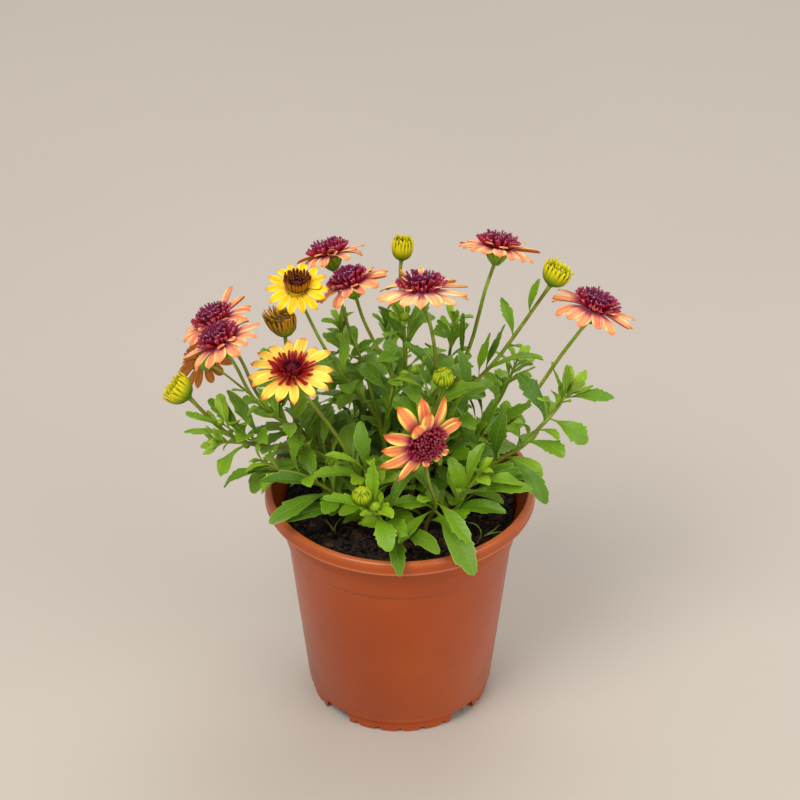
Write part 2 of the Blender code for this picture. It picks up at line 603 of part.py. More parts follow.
def stemSolid(name, stem, collection):
    # a curve with a bevel along the stem's route, turned into a mesh with its caps welded
    curve = bpy.data.curves.new(name, "CURVE")
    curve.dimensions = "3D"
    curve.bevel_depth = mm
    curve.bevel_resolution = 0
    curve.use_fill_caps = True
    spline = curve.splines.new("POLY")
    spline.points.add(len(stem["route"]) - 1)
    for k, point in enumerate(stem["route"]):
        share = k / (len(stem["route"]) - 1)
        spline.points[k].co = (*point, 1)
        spline.points[k].radius = stem["thick"][0] + (stem["thick"][1] - stem["thick"][0]) * share
    guide = bpy.data.objects.new(name + "_route", curve)
    collection.objects.link(guide)
    bpy.context.view_layer.update()
    data = bpy.data.meshes.new_from_object(guide.evaluated_get(bpy.context.evaluated_depsgraph_get()))
    shape = bmesh.new()
    shape.from_mesh(data)
    bmesh.ops.remove_doubles(shape, verts=shape.verts, dist=0.00001)
    bmesh.ops.recalc_face_normals(shape, faces=shape.faces)
    shape.to_mesh(data)
    shape.free()
    made = bpy.data.objects.new(name, data)
    collection.objects.link(made)
    bpy.data.objects.remove(guide)
    return made


def joined(base, name, others, solver="MANIFOLD", operation="UNION"):
    # one Boolean with a collection, applied, and the collection's objects removed
    cutters = collectionOf(name + "_pieces")
    for other in others:
        for holder in list(other.users_collection):
            holder.objects.unlink(other)
        cutters.objects.link(other)
    step = base.modifiers.new("join", "BOOLEAN")
    step.operation = operation
    step.operand_type = "COLLECTION"
    step.collection = cutters
    step.solver = solver
    bpy.context.view_layer.update()
    data = bpy.data.meshes.new_from_object(base.evaluated_get(bpy.context.evaluated_depsgraph_get()))
    base.modifiers.clear()
    base.data = data
    base.name = name
    for other in list(cutters.objects):
        bpy.data.objects.remove(other)
    bpy.data.collections.remove(cutters)
    return base


def finish(made, look):
    made.data.materials.clear()
    made.data.materials.append(look)
    return made


def screwed(name, profile, collection):
    # a profile in millimetres turned into a closed ring
    data = bpy.data.meshes.new(name)
    count = len(profile)
    edges = [(k, (k + 1) % count) for k in range(count)]
    data.from_pydata([(x * mm, 0, z * mm) for x, z in profile], edges, [])
    made = bpy.data.objects.new(name, data)
    collection.objects.link(made)
    turn = made.modifiers.new("turn", "SCREW")
    turn.steps = turn.render_steps = potSides
    turn.use_merge_vertices = True
    turn.merge_threshold = 0.00001
    return made


def makePot(collection):
    profile = [(82.4, potHeight), (84.4, 155), (lipRadius, 152), (84.4, 147.6), (82, 144.9), (75.4, 144.2),
               (72.7, 121.2), (71.6, 119.4), (59, 8.6), (footRadius, 7.8), (footRadius, 0), (54.6, 0),
               (54.6, footHeight), (6, footHeight), (6, 10.5), (57.2, 10.5), (70, 119.6), (71, 121.6),
               (73.6, 144), (78.6, 150), (80.6, 155)]
    pot = screwed("pot", profile, collection)
    pot.data = bpy.data.meshes.new_from_object(evaluated(pot))
    pot.modifiers.clear()
    cutters = []
    for k in range(4):
        bpy.ops.mesh.primitive_cube_add(size=1)
        block = bpy.context.object
        angle = radians(45 + 90 * k)
        block.scale = (12 * mm, 21.5 * mm, 16 * mm)
        block.rotation_euler = (0, 0, angle)
        block.location = (56 * cos(angle) * mm, 56 * sin(angle) * mm, (footHeight - 8.4) * mm)
        cutters.append(block)
        for degrees in (-29, -14.5, 0, 14.5, 29):
            angle = radians(90 * k + degrees)
            bpy.ops.mesh.primitive_cylinder_add(vertices=6, radius=2.5 * mm, depth=9 * mm)
            arch = bpy.context.object
            arch.rotation_euler = (0, radians(90), angle)
            arch.location = (56 * cos(angle) * mm, 56 * sin(angle) * mm, 0.2 * mm)
            cutters.append(arch)
    for k in range(8):
        angle = radians(22.5 + 45 * k)
        bpy.ops.mesh.primitive_cylinder_add(vertices=8, radius=4 * mm, depth=9 * mm)
        hole = bpy.context.object
        hole.location = (40 * cos(angle) * mm, 40 * sin(angle) * mm, 9 * mm)
        cutters.append(hole)
    bpy.context.view_layer.update()
    joined(pot, "pot", cutters, "EXACT", "DIFFERENCE")
    return pot


def evaluated(made):
    bpy.context.view_layer.update()
    return made.evaluated_get(bpy.context.evaluated_depsgraph_get())


def makeSoil(collection):
    draw = Random(5)
    rings = (20, 39, 57, 72.6)
    profile = [(0, soilTop)] + [(r, soilTop - (1.5 if r > 60 else 0)) for r in rings]
    profile += [(70.5, 121.8), (69.5, 119.6), (56.7, soilFloor), (0, soilFloor)]
    verts, faces = turned(profile, potSides)
    for k in range(1 + len(rings) * potSides):
        edge = hypot(verts[k].x, verts[k].y) > 71 * mm
        verts[k].z += draw.uniform(-2.2, 0.6 if edge else 2.2) * mm
    soil = solid("soil", (verts, faces), collection)
    holes = []
    for shoot in shoots.values():
        foot = shoot["route"][0]
        bpy.ops.mesh.primitive_cylinder_add(vertices=6, radius=(shoot["thick"][0] + 0.8) * mm, depth=30 * mm)
        hole = bpy.context.object
        hole.location = (foot.x, foot.y, foot.z + (15 - gap) * mm)
        holes.append(hole)
    joined(soil, "soil", holes, "EXACT", "DIFFERENCE")
    return soil


def makeShoot(name, shoot, green, collection):
    pieces = []
    for number, stem in enumerate(everyStem(shoot)):
        if number:
            pieces.append(stemSolid(name + "_arm", stem, collection))
        pieces += [solid(name + "_head", mesh, collection) for mesh in stem["meshes"]]
        pieces += [solid(name + "_leaf", bladeMesh(blade), collection) for blade in stem["blades"]]
    return finish(joined(stemSolid(name, shoot, collection), name, pieces), green)


def makeBloom(name, bloom, tints, collection):
    finish(solid(name + "_petals", petalsMesh(bloom), collection), tints[bloom["tint"]])
    disc = solid(name + "_disc", discMesh(bloom), collection)
    return finish(disc, tints["brown" if bloom["tint"] == "lemon" else "crimson"])


for each in list(bpy.data.objects):
    bpy.data.objects.remove(each)

layOut()
plant = collectionOf("Osteospermum")
tints = dict(
    orange=material("orange_petal", (0.83, 0.33, 0.15), 0.55),
    peach=material("peach_petal", (0.85, 0.45, 0.22), 0.55),
    yellow=material("yellow_petal", (0.87, 0.56, 0.12), 0.55),
    lemon=material("lemon_petal", (0.78, 0.66, 0.05), 0.55),
    bronze=material("bronze_petal", (0.55, 0.2, 0.06), 0.55),
    brown=material("brown_floret", (0.12, 0.05, 0.02), 0.6),
    crimson=material("crimson_floret", (0.16, 0.01, 0.04), 0.5))
green = material("leaf_green", (0.13, 0.27, 0.03), 0.5)
finish(makePot(plant), material("terracotta_plastic", (0.42, 0.11, 0.035), 0.42))
finish(makeSoil(plant), material("peat", (0.02, 0.014, 0.01), 0.95))
for name, shoot in shoots.items():
    makeShoot(name, shoot, green, plant)
for name, bloom in blooms.items():
    makeBloom(name, bloom, tints, plant)
for name, bud in buds.items():
    finish(solid(name, budMesh(bud), plant), tints[bud["tint"]])
for each in plant.objects:
    each.data.shade_flat()
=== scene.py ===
import json
from math import cos, hypot, pi, radians, sin
from random import Random

import bmesh
import bpy
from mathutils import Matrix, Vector, noise
from mathutils.bvhtree import BVHTree

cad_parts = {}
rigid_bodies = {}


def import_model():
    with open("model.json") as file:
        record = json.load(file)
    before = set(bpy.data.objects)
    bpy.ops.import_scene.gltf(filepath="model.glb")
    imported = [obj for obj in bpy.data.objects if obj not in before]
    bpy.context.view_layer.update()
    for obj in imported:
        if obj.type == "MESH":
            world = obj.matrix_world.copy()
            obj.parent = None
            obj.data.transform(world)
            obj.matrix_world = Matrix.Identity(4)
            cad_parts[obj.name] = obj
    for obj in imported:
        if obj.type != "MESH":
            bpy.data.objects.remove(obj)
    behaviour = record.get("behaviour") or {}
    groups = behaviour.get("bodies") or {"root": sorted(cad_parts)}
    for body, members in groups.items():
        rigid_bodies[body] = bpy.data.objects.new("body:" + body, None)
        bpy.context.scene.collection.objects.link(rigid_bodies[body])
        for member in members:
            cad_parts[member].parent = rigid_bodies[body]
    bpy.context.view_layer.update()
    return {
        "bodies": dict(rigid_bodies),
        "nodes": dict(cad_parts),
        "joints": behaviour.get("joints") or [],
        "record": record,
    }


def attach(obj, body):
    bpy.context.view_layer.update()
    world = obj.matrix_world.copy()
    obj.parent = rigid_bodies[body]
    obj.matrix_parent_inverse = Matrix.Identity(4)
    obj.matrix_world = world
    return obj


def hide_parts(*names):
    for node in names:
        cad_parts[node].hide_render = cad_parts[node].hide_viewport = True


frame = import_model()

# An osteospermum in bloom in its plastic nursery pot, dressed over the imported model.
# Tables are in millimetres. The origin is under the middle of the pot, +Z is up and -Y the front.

mm = 0.001
up = Vector((0, 0, 1))
goldenTurn = 137.508  # degrees from one floret to the next


def spin(angle):
    # the direction at an angle round +Z
    return Vector((cos(angle), sin(angle), 0))


# Materials

def colour(red, green, blue):
    # a screen colour, 0 to 255 each, as shaders take it
    shares = [c / 255 for c in (red, green, blue)]
    return tuple(((c + 0.055) / 1.055) ** 2.4 if c > 0.04 else c / 12.92 for c in shares) + (1,)


class Wire:
    # the output of a node; sums with it add their Math nodes
    def __init__(self, look, socket):
        self.look = look
        self.socket = socket

    def maths(self, operation, *values):
        return self.look.node("Math", {"operation": operation}, dict(enumerate(values)))

    def __add__(self, other):
        return self.maths("ADD", self, other)

    def __sub__(self, other):
        return self.maths("SUBTRACT", self, other)

    def __rsub__(self, other):
        return self.maths("SUBTRACT", other, self)

    def __mul__(self, other):
        return self.maths("MULTIPLY", self, other)

    def __truediv__(self, other):
        return self.maths("DIVIDE", self, other)

    def __abs__(self):
        return self.maths("ABSOLUTE", self)

    __radd__ = __add__
    __rmul__ = __mul__

    def sine(self):
        return self.maths("SINE", self)

    def step(self, low, high):
        # 0 below low and 1 above high, with a soft rise between them
        return self.look.node("MapRange", {"interpolation_type": "SMOOTHSTEP"}, {0: self, 1: low, 2: high})


class Look:
    # a material with its Principled shader; finish holds its colours by name, and plain what is the
    # same all over it
    def __init__(self, name, finish, plain):
        self.material = bpy.data.materials.new(name)
        self.material.use_nodes = True
        self.tree = self.material.node_tree
        self.tones = {key: colour(*value) for key, value in finish.items() if key not in plainValues}
        self.feed(self.tree.nodes["Principled BSDF"], plain)

    def feed(self, made, sockets):
        for name, value in sockets.items():
            if isinstance(value, Wire):
                self.tree.links.new(value.socket, made.inputs[name])
            else:
                made.inputs[name].default_value = value

    def node(self, kind, settings, sockets, output=0):
        made = self.tree.nodes.new("ShaderNode" + kind)
        for name, value in settings.items():
            setattr(made, name, value)
        self.feed(made, sockets)
        return Wire(self, made.outputs[output])

    def mix(self, share, first, second):
        # a mix of two colours, each a wire or a name
        first, second = (self.tones[each] if isinstance(each, str) else each for each in (first, second))
        return self.node("Mix", {"data_type": "RGBA"}, {0: share, 6: first, 7: second}, 2)

    def layers(self, base, *coats):
        # a colour under coats of others, each (share, colour)
        for share, tone in coats:
            base = self.mix(share, base, tone)
        return base

    def grain(self, scale, detail=2.0, place=None):
        # a noise; without a place it lies in the object's own space, its scale in grains a metre
        place = place or self.node("TexCoord", {}, {}, 3)
        return self.node("TexNoise", {}, {"Vector": place, "Scale": scale, "Detail": detail})

    def marks(self, name):
        # the three numbers that a mesh carries at each point under this name
        return self.apart(self.node("Attribute", {"attribute_name": name}, {}, 1))

    def apart(self, vector):
        parts = self.node("SeparateXYZ", {}, {0: vector}).socket.node.outputs
        return [Wire(self, part) for part in parts]

    def spot(self, x, y, z):
        return self.node("CombineXYZ", {}, {0: x, 1: y, 2: z})

    def finish(self, base, roughness, height, depth):
        # colours the shader, and raises its surface by height times depth, in metres
        bump = self.node("Bump", {}, {"Strength": 1.0, "Distance": depth, "Height": height})
        shader = self.tree.nodes["Principled BSDF"]
        self.feed(shader, {"Base Color": base, "Roughness": roughness, "Normal": bump})
        return self.material


# What a finish may hold beside colours
plainValues = ("lip", "paintedLipHighlight", "lipEdgeHighlightFoot", "lipEdgeHighlightTop", "base", "veinGap", "ribWidth", "spread")

# The lip's radius and its edge, and heights on the pot, are in metres; two bands of height on the lip carry
# painted highlights
plasticFinish = dict(
    body=(164, 69, 6), deep=(154, 61, 4), pale=(190, 112, 60), dustAndHighlight=(204, 152, 112), lip=(0.0828, 0.0836),
    paintedLipHighlight=(0.151, 0.1553), lipEdgeHighlightFoot=(0.1474, 0.148), lipEdgeHighlightTop=(0.1484, 0.149), base=(0.004, 0.02))


def plasticLook():
    form = plasticFinish
    look = Look("terracotta plastic", form, {"Specular IOR Level": 0.36, "Coat Weight": 0.2,
                                             "Coat Roughness": 0.2})
    x, y, height = look.apart(look.node("TexCoord", {}, {}, 3))
    inner, outer = form["lip"]
    outside = (x * x + y * y).step(inner ** 2, outer ** 2)
    cloud = look.grain(14, 3)
    rub = look.grain(420, 3).step(0.62, 0.74) * look.grain(30, 2).step(0.5, 0.66)
    foot = 1 - (height + look.grain(60, 2) * 0.01).step(*form["base"])
    # painted highlight: a pale band along the top of the lip, stronger on its inner side, in the pale of
    # the rubs
    paintedLipHighlight = height.step(*form["paintedLipHighlight"]) * (1 - outside * 0.5)
    # painted highlight: a thin pale band along the bead under the lip's outer edge, in the colour of the
    # dust specks
    seam = height.step(*form["lipEdgeHighlightFoot"]) * (1 - height.step(*form["lipEdgeHighlightTop"])) * outside
    base = look.layers("deep", (cloud.step(0.3, 0.7), "body"), (rub * 0.22, "pale"),
                       (look.grain(1500, 1).step(0.74, 0.8) * 0.35, "dustAndHighlight"), (foot * 0.3, "deep"),
                       (paintedLipHighlight * 0.46, "pale"), (seam * 0.26, "dustAndHighlight"))
    roughness = look.grain(90, 3) * 0.16 + rub * 0.15 + 0.3
    return look.finish(base, roughness, look.grain(1100, 2) + cloud * 4, 0.00006)


peatFinish = dict(dark=(22, 16, 13), brown=(70, 48, 34), bark=(132, 86, 50), pale=(196, 188, 172))


def peatLook():
    # shade: what a point is, 0 peat, 0.5 bark or 1 a pale grain, and how dark it is
    look = Look("peat", peatFinish, {"Specular IOR Level": 0.45})
    kind, tone, _ = look.marks("shade")
    crumb = look.grain(700, 4)
    base = look.layers("dark", (crumb.step(0.42, 0.68), "brown"),
                       (kind.step(0.1, 0.5), look.mix(look.grain(900, 3), "brown", "bark")),
                       (kind.step(0.6, 0.95), "pale"), (look.grain(2600, 1).step(0.71, 0.75), "bark"),
                       (tone * 0.5, "dark"))
    return look.finish(base, look.grain(500, 2) * 0.4 + 0.42, look.grain(1400, 5) + crumb * 2, 0.0012)


# The gap between veins and the width of the rib are in millimetres
leafFinish = dict(
    young=(134, 172, 14), grown=(97, 143, 6), old=(62, 105, 12), rib=(172, 194, 76), edge=(166, 192, 66),
    under=(126, 158, 50), veinGap=4.4, ribWidth=0.3)


def leafLook(name, underside):
    # spot: along and off the rib in millimetres, and the share of the way to the edge; shade: age,
    # tone and how clear the veins are
    look = Look(name, leafFinish, {"Subsurface Weight": 0.1, "Subsurface Radius": (0.5, 1.0, 0.2),
                                   "Subsurface Scale": 0.0012, "Specular IOR Level": 0.38})
    along, off, out = look.marks("spot")
    age, tone, share = look.marks("shade")
    width = leafFinish["ribWidth"]
    run = (along - abs(off) * 0.95 + look.grain(240, 2) * 1.4) / leafFinish["veinGap"] * pi
    vein = (1 - abs(run.sine()).step(0.02, 0.24)) * (1 - abs(out).step(0.5, 0.95)) * share
    rib = 1 - (abs(off) + share * 0.12).step(width * 0.5, width * 1.5)
    base = look.layers("young", (age.step(0, 0.5), "grown"), (age.step(0.5, 1), "old"),
                       (look.grain(110, 3).step(0.35, 0.75) * 0.35, "old"), (tone * 0.3, "young"),
                       *[(0.62, "under")] * underside, (vein * 0.3, "rib"), (rib * 0.5, "rib"),
                       (abs(out).step(0.9, 1.0) * 0.6, "edge"))
    height = (vein * 0.8 + rib * 1.6) * (1.0 if underside else -1.0) + look.grain(800, 3) * 0.9
    return look.finish(base, look.grain(150, 2) * 0.16 + (0.55 if underside else 0.36), height, 0.00022)


stemFinish = dict(green=(102, 134, 16), ripe=(108, 92, 30), woody=(120, 96, 52), pale=(148, 172, 44))


def stemLook():
    # spot: round the stem, along it and its height above the soil in centimetres; shade: age and tone
    look = Look("stem", stemFinish, {"Subsurface Weight": 0.06, "Subsurface Scale": 0.001,
                                     "Specular IOR Level": 0.4})
    turn, along, height = look.marks("spot")
    age, tone, _ = look.marks("shade")
    streak = look.grain(1.0, 3, look.spot(turn * 5, along * 0.4, tone * 40))
    base = look.layers("green", (streak.step(0.35, 0.7), "pale"),
                       (age * look.grain(70, 2).step(0.35, 0.7) * 0.8, "ripe"),
                       (1 - height.step(0.1, 3.2), "woody"))
    return look.finish(base, look.grain(300, 2) * 0.15 + 0.4, streak * 2 + look.grain(1500, 2), 0.00014)


cupFinish = dict(green=(92, 130, 14), fresh=(138, 168, 18), tip=(190, 198, 24), seam=(74, 106, 12),
                 brown=(122, 104, 14))


def cupLook():
    # spot: along a bract, across it and how yellow its tip is; shade: how brown it is
    look = Look("calyx", cupFinish, {"Subsurface Weight": 0.08, "Subsurface Scale": 0.001,
                                     "Specular IOR Level": 0.4})
    along, across, ripe = look.marks("spot")
    brown, _, _ = look.marks("shade")
    streak = look.grain(1.0, 2, look.spot(across * 3, along * 2, ripe * 9))
    base = look.layers("green", (along.step(0.1, 0.9), "fresh"), (along.step(0.5, 1) * ripe, "tip"),
                       (brown * along.step(0, 0.7), "brown"), (abs(across).step(0.55, 1) * 0.4, "seam"),
                       (streak.step(0.4, 0.7) * 0.25, "fresh"))
    return look.finish(base, look.grain(300, 2) * 0.15 + 0.38, streak + look.grain(900, 2), 0.0002)


# spread is where the colour of the root ends, as shares of the petal
petalFinish = {
    "orange": dict(root=(172, 66, 100), blush=(228, 124, 112), body=(238, 160, 112), streak=(218, 92, 68),
                   margin=(248, 198, 120), tip=(230, 134, 66), under=(204, 120, 44), shade=(166, 84, 26)),
    "flame": dict(root=(168, 44, 88), blush=(238, 142, 122), body=(242, 150, 86), streak=(216, 84, 66),
                  margin=(253, 216, 104), tip=(226, 104, 46), under=(226, 138, 52), shade=(198, 92, 34)),
    "peach": dict(root=(204, 104, 124), blush=(236, 156, 134), body=(242, 190, 126), streak=(230, 138, 92),
                  margin=(249, 216, 142), tip=(238, 158, 86), under=(222, 144, 56), shade=(190, 104, 36)),
    "yellow": dict(root=(206, 104, 60), blush=(248, 190, 84), body=(252, 208, 78), streak=(247, 180, 56),
                   margin=(253, 220, 96), tip=(238, 132, 56), under=(228, 164, 42), shade=(202, 120, 34),
                   spread=(0.2, 0.44)),
    "lemon": dict(root=(176, 96, 4), blush=(244, 194, 8), body=(246, 204, 8), streak=(230, 164, 4),
                  margin=(250, 220, 40), tip=(236, 172, 16), under=(230, 172, 14), shade=(196, 128, 12),
                  spread=(0.06, 0.24)),
    "bronze": dict(root=(130, 60, 36), blush=(196, 106, 52), body=(220, 136, 64), streak=(190, 94, 36),
                   margin=(232, 164, 74), tip=(204, 110, 44), under=(218, 142, 62), shade=(184, 104, 38)),
}


def petalLook(name, finish, underside):
    # spot: along the petal, across it and its own number; shade: how far from its base colour it strays
    # and how wide its margin is
    look = Look(name, finish, {"Subsurface Weight": 0.12, "Subsurface Radius": (1.0, 0.6, 0.3),
                               "Subsurface Scale": 0.0015, "Specular IOR Level": 0.2, "Sheen Weight": 0.08})
    along, across, number = look.marks("spot")
    stray, pale, _ = look.marks("shade")
    line = look.grain(1.0, 3, look.spot(across * 5.5, along * 0.7, number * 17))
    fine = look.grain(1.0, 2, look.spot(across * 16, along * 1.6, number * 31))
    side = abs(across)
    if underside:
        base = look.layers("shade", (line.step(0.35, 0.7), "under"), (side.step(0.7, 1) * 0.5, "body"),
                           (fine.step(0.4, 0.65) * 0.25, "shade"))
    else:
        base = look.layers("body",
                           ((line + stray * 0.25).step(0.42, 0.68) * 0.85 * (1 - side.step(0.45, 0.95)),
                            "streak"),
                           ((1 - along.step(0.15, 0.72)) * 0.85, "blush"),
                           ((side + along * 0.12 + pale * 0.2).step(0.52, 1.0), "margin"),
                           (1 - (along + line * 0.14).step(*finish.get("spread", (0.26, 0.6))), "root"),
                           ((along + side * 0.05 + fine * 0.05).step(0.86, 1.02), "tip"),
                           (fine.step(0.45, 0.7) * 0.14, "streak"))
    height = line * 1.2 + fine * 0.8 + look.grain(1200, 2) * 0.3
    return look.finish(base, look.grain(400, 2) * 0.12 + 0.46, height, 0.00028)


floretFinish = {
    "crimson": dict(foot=(118, 8, 14), shaft=(166, 24, 36), inner=(112, 30, 72), tip=(166, 66, 104),
                    dot=(212, 162, 196)),
    "maroon": dict(foot=(84, 4, 20), shaft=(142, 16, 40), inner=(118, 12, 40), tip=(168, 44, 70),
                   dot=(226, 160, 176)),
    "ruby": dict(foot=(104, 4, 10), shaft=(166, 18, 24), inner=(44, 6, 34), tip=(156, 30, 36),
                 dot=(120, 30, 66)),
    "brown": dict(foot=(100, 48, 2), shaft=(164, 98, 4), inner=(72, 20, 18), tip=(118, 46, 8),
                  dot=(150, 112, 100)),
}


def floretLook(name, finish):
    # spot: along the floret, round it and its own number; shade: how near the middle it stands, and its dot
    look = Look(name, finish, {"Specular IOR Level": 0.26, "Subsurface Weight": 0.05,
                               "Subsurface Scale": 0.001})
    along, turn, number = look.marks("spot")
    middle, dot, _ = look.marks("shade")
    streak = look.grain(1.0, 2, look.spot(turn * 3, along * 1.2, number * 23))
    base = look.layers("shaft", (middle.step(0.15, 0.8), "inner"), (1 - along.step(0.05, 0.5), "foot"),
                       (along.step(0.7, 1) * (0.8 - middle * 0.5), "tip"),
                       (streak.step(0.4, 0.7) * 0.45, "foot"), (dot, "dot"))
    return look.finish(base, look.grain(700, 2) * 0.2 + 0.32, streak + look.grain(1500, 2), 0.0002)


fingerFinish = {
    "yellow": dict(foot=(74, 110, 4), body=(170, 172, 6), tip=(220, 206, 18), seam=(158, 160, 6),
                   heart=(186, 150, 70)),
    "green": dict(foot=(84, 124, 6), body=(142, 166, 8), tip=(186, 192, 24), seam=(92, 122, 4),
                  heart=(156, 170, 16)),
    "bronze": dict(foot=(92, 96, 6), body=(152, 116, 12), tip=(190, 132, 26), seam=(118, 78, 8),
                   heart=(90, 54, 12)),
}


def fingerLook(name, finish):
    # spot: along a finger, across it and its own number; shade: how near the middle of the bud it lies,
    # and its dot
    look = Look(name, finish, {"Subsurface Weight": 0.08, "Subsurface Scale": 0.001,
                               "Specular IOR Level": 0.22})
    along, across, number = look.marks("spot")
    middle, dot, _ = look.marks("shade")
    line = look.grain(1.0, 2, look.spot(across * 3, along * 1.4, number * 19))
    ripe = along + line * 0.2
    base = look.layers("foot", (ripe.step(0.34, 0.98), "body"), (ripe.step(0.66, 1.1), "tip"),
                       (abs(across).step(0.6, 1) * 0.8, "seam"), (middle, "heart"), (dot * 0.7, "tip"))
    return look.finish(base, look.grain(400, 2) * 0.15 + 0.4, line * 1.5 + look.grain(1200, 2), 0.0002)


# Meshes

class Skin:
    # points and faces of a piece; each point carries a spot and a shade for its material
    def __init__(self):
        self.points, self.faces, self.slots = [], [], []
        self.spots, self.shades = [], []

    def point(self, place, spot, shade):
        self.points.append(place)
        self.spots.append(spot)
        self.shades.append(shade)
        return len(self.points) - 1

    def between(self, first, second, slot, ring=False):
        # faces between two rows of point numbers; a row of one number is a tip
        count = max(len(first), len(second))
        for k in range(count if ring else count - 1):
            after = (k + 1) % count
            corners = [first[k % len(first)], first[after % len(first)], second[after % len(second)],
                       second[k % len(second)]]
            corners = tuple(dict.fromkeys(corners))
            if len(corners) > 2:
                self.faces.append(corners)
                self.slots.append(slot)

    def close(self, ring, slot):
        self.faces.append(tuple(ring))
        self.slots.append(slot)


plain = (0, 0, 0)


def addSheet(skin, middle, shares, across, thick, slots, shade, pointed=False, back=None):
    # a thin closed sheet: its upper and lower face meet along the edges; middle gives the point,
    # the way up and the spot at a share of the length and of the half width
    tops, lows = [], []
    for t in shares:
        top, low = [], []
        last = t == shares[-1]
        for v in (0,) if last and pointed else across:
            place, normal, spot = middle(t, v)
            if abs(v) == 1 or last:
                both = skin.point(place, spot, shade)
                top.append(both)
                low.append(both)
                continue
            lens = normal * thick * (1 - v * v) ** 0.5 / 2
            top.append(skin.point(place + lens, spot, shade))
            low.append(skin.point(place - lens, spot, back or shade))
        tops.append(top)
        lows.append(low)
    for k in range(len(tops) - 1):
        skin.between(tops[k], tops[k + 1], slots[0])
        skin.between(lows[k + 1], lows[k], slots[1])
    skin.close(tops[0] + lows[0][-2:0:-1], slots[1])


def addTube(skin, way, radii, sides, slot=0, spotAt=None, shade=plain, ridge=0.0, caps=True):
    # a round or ridged skin along a way; spotAt gives the spot at a share of the length and of the
    # turn, and at a place
    rings = []
    for k, point in enumerate(way):
        ahead = (way[min(k + 1, len(way) - 1)] - way[max(k - 1, 0)]).normalized()
        turn = headFrame(ahead)
        ring = []
        for i in range(sides):
            angle = 2 * pi * i / sides
            radius = radii[k] * (1 + (ridge if i % 2 else -ridge))
            place = point + turn @ spin(angle) * radius
            spot = spotAt(k / (len(way) - 1), i / sides, place) if spotAt else plain
            ring.append(skin.point(place, spot, shade))
        if rings:
            skin.between(rings[-1], ring, slot, True)
        rings.append(ring)
    if caps:
        skin.close(rings[0][::-1], slot)
        skin.close(rings[-1], slot)
    return rings


def addTurned(skin, profile, sides, slot, frame, at, spotAt, shade, wave=None):
    # a closed turned solid from (radius, height) in millimetres, top middle first
    rings = []
    for step, (radius, height) in enumerate(profile):
        ring = []
        for k in range(1 if radius == 0 else sides):
            angle = 2 * pi * k / sides
            out = radius * (wave(angle) if wave else 1)
            place = at + frame @ Vector((out * cos(angle), out * sin(angle), height)) * mm
            ring.append(skin.point(place, spotAt(step / (len(profile) - 1), k / sides), shade))
        if rings:
            skin.between(rings[-1], ring, slot, True)
        rings.append(ring)


def meshObject(name, points, faces):
    data = bpy.data.meshes.new(name)
    data.from_pydata([tuple(p) for p in points], [], faces)
    made = bpy.data.objects.new(name, data)
    bpy.context.scene.collection.objects.link(made)
    return made


def faceOutward(data):
    shape = bmesh.new()
    shape.from_mesh(data)
    bmesh.ops.recalc_face_normals(shape, faces=shape.faces)
    shape.to_mesh(data)
    shape.free()


def piece(name, skin, materials, node, slotName, angle=50):
    # a mesh object from a skin, with the marks of its points
    made = meshObject(name, skin.points, skin.faces)
    for mark, values in (("spot", skin.spots), ("shade", skin.shades)):
        layer = made.data.attributes.new(mark, "FLOAT_VECTOR", "POINT")
        layer.data.foreach_set("vector", [x for value in values for x in value])
    made.data.polygons.foreach_set("material_index", skin.slots)
    faceOutward(made.data)
    return settle(made, materials, angle, node)


def settle(made, materials, angle, node):
    # shades a piece, which rides on the plant's one body and stands for a node
    made.data.shade_smooth()
    made.data.set_sharp_from_angle(angle=radians(angle))
    for material in materials:
        made.data.materials.append(material)
    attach(made, "root")
    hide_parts(node)
    return made


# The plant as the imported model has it: the tables and the rules that place every stem and leaf

potSides = 32
soilTop = 141.0
# where the routes of shoots begin, and how deep they go below the soil's top
shootFoot = 147
rootDepth = 17.0
stemSpacing = 25.0
bladeThickness = 1.4
petalThickness = 0.9
# the radius at which petals begin
hub = 6.3
# leaves longer than this have teeth, and each leaf of a row turns on by leafTurn degrees
longLeaf = 21
leafTurn = 137.5
gap = 0.3


# Every open bloom: the middle of its petals, the way it faces, its radius, its petals, the radius
# of its disc of florets, how far the petal tips drop, and its colours
blooms = {}
for name, at, face, size, petals, disc, drop, tint in (
        ("top_right", (59, 10, 323), (0.18, 0.41, 0.89), 24.5, 16, 12, 1.5, "orange"),
        ("far_right", (117, -8, 292), (0.33, 0.16, 0.93), 27, 16, 13.5, 3, "orange"),
        ("centre", (13, -5, 303), (0, 0.25, 0.95), 29, 16, 14, 3.5, "peach"),
        ("back_left", (-43, 46, 296), (-0.27, 0.42, 0.87), 22, 16, 12, 2, "orange"),
        ("yellow_small", (-62, -2, 303), (0, -0.43, 0.9), 17.6, 14, 7.5, 1.5, "lemon"),
        ("left_centre", (-30, 18, 293), (-0.35, 0.19, 0.92), 23.5, 14, 11.5, 2, "orange"),
        ("left_back", (-113, 14, 268), (-0.41, 0.19, 0.89), 24, 16, 12, 2, "orange"),
        ("left_front", (-107, -34, 285), (-0.45, 0.15, 0.88), 25, 16, 12.5, 3, "orange"),
        ("left_turned", (-122, 26, 233), (-0.55, 0.82, 0.1), 21, 14, 10, 4, "bronze"),
        ("yellow_front", (-65, -42, 269), (0.03, -0.24, 0.97), 26.5, 16, 12, 1.5, "yellow"),
        ("low_front", (15, -52, 224), (0.45, -0.89, 0.07), 30, 12, 12, 0.5, "orange")):
    blooms["bloom_" + name] = dict(
        at=at, face=face, size=size, petals=petals, disc=disc, drop=drop, tint=tint)
blooms["bloom_low_front"]["longWay"] = (-0.6, 0, 0.8)

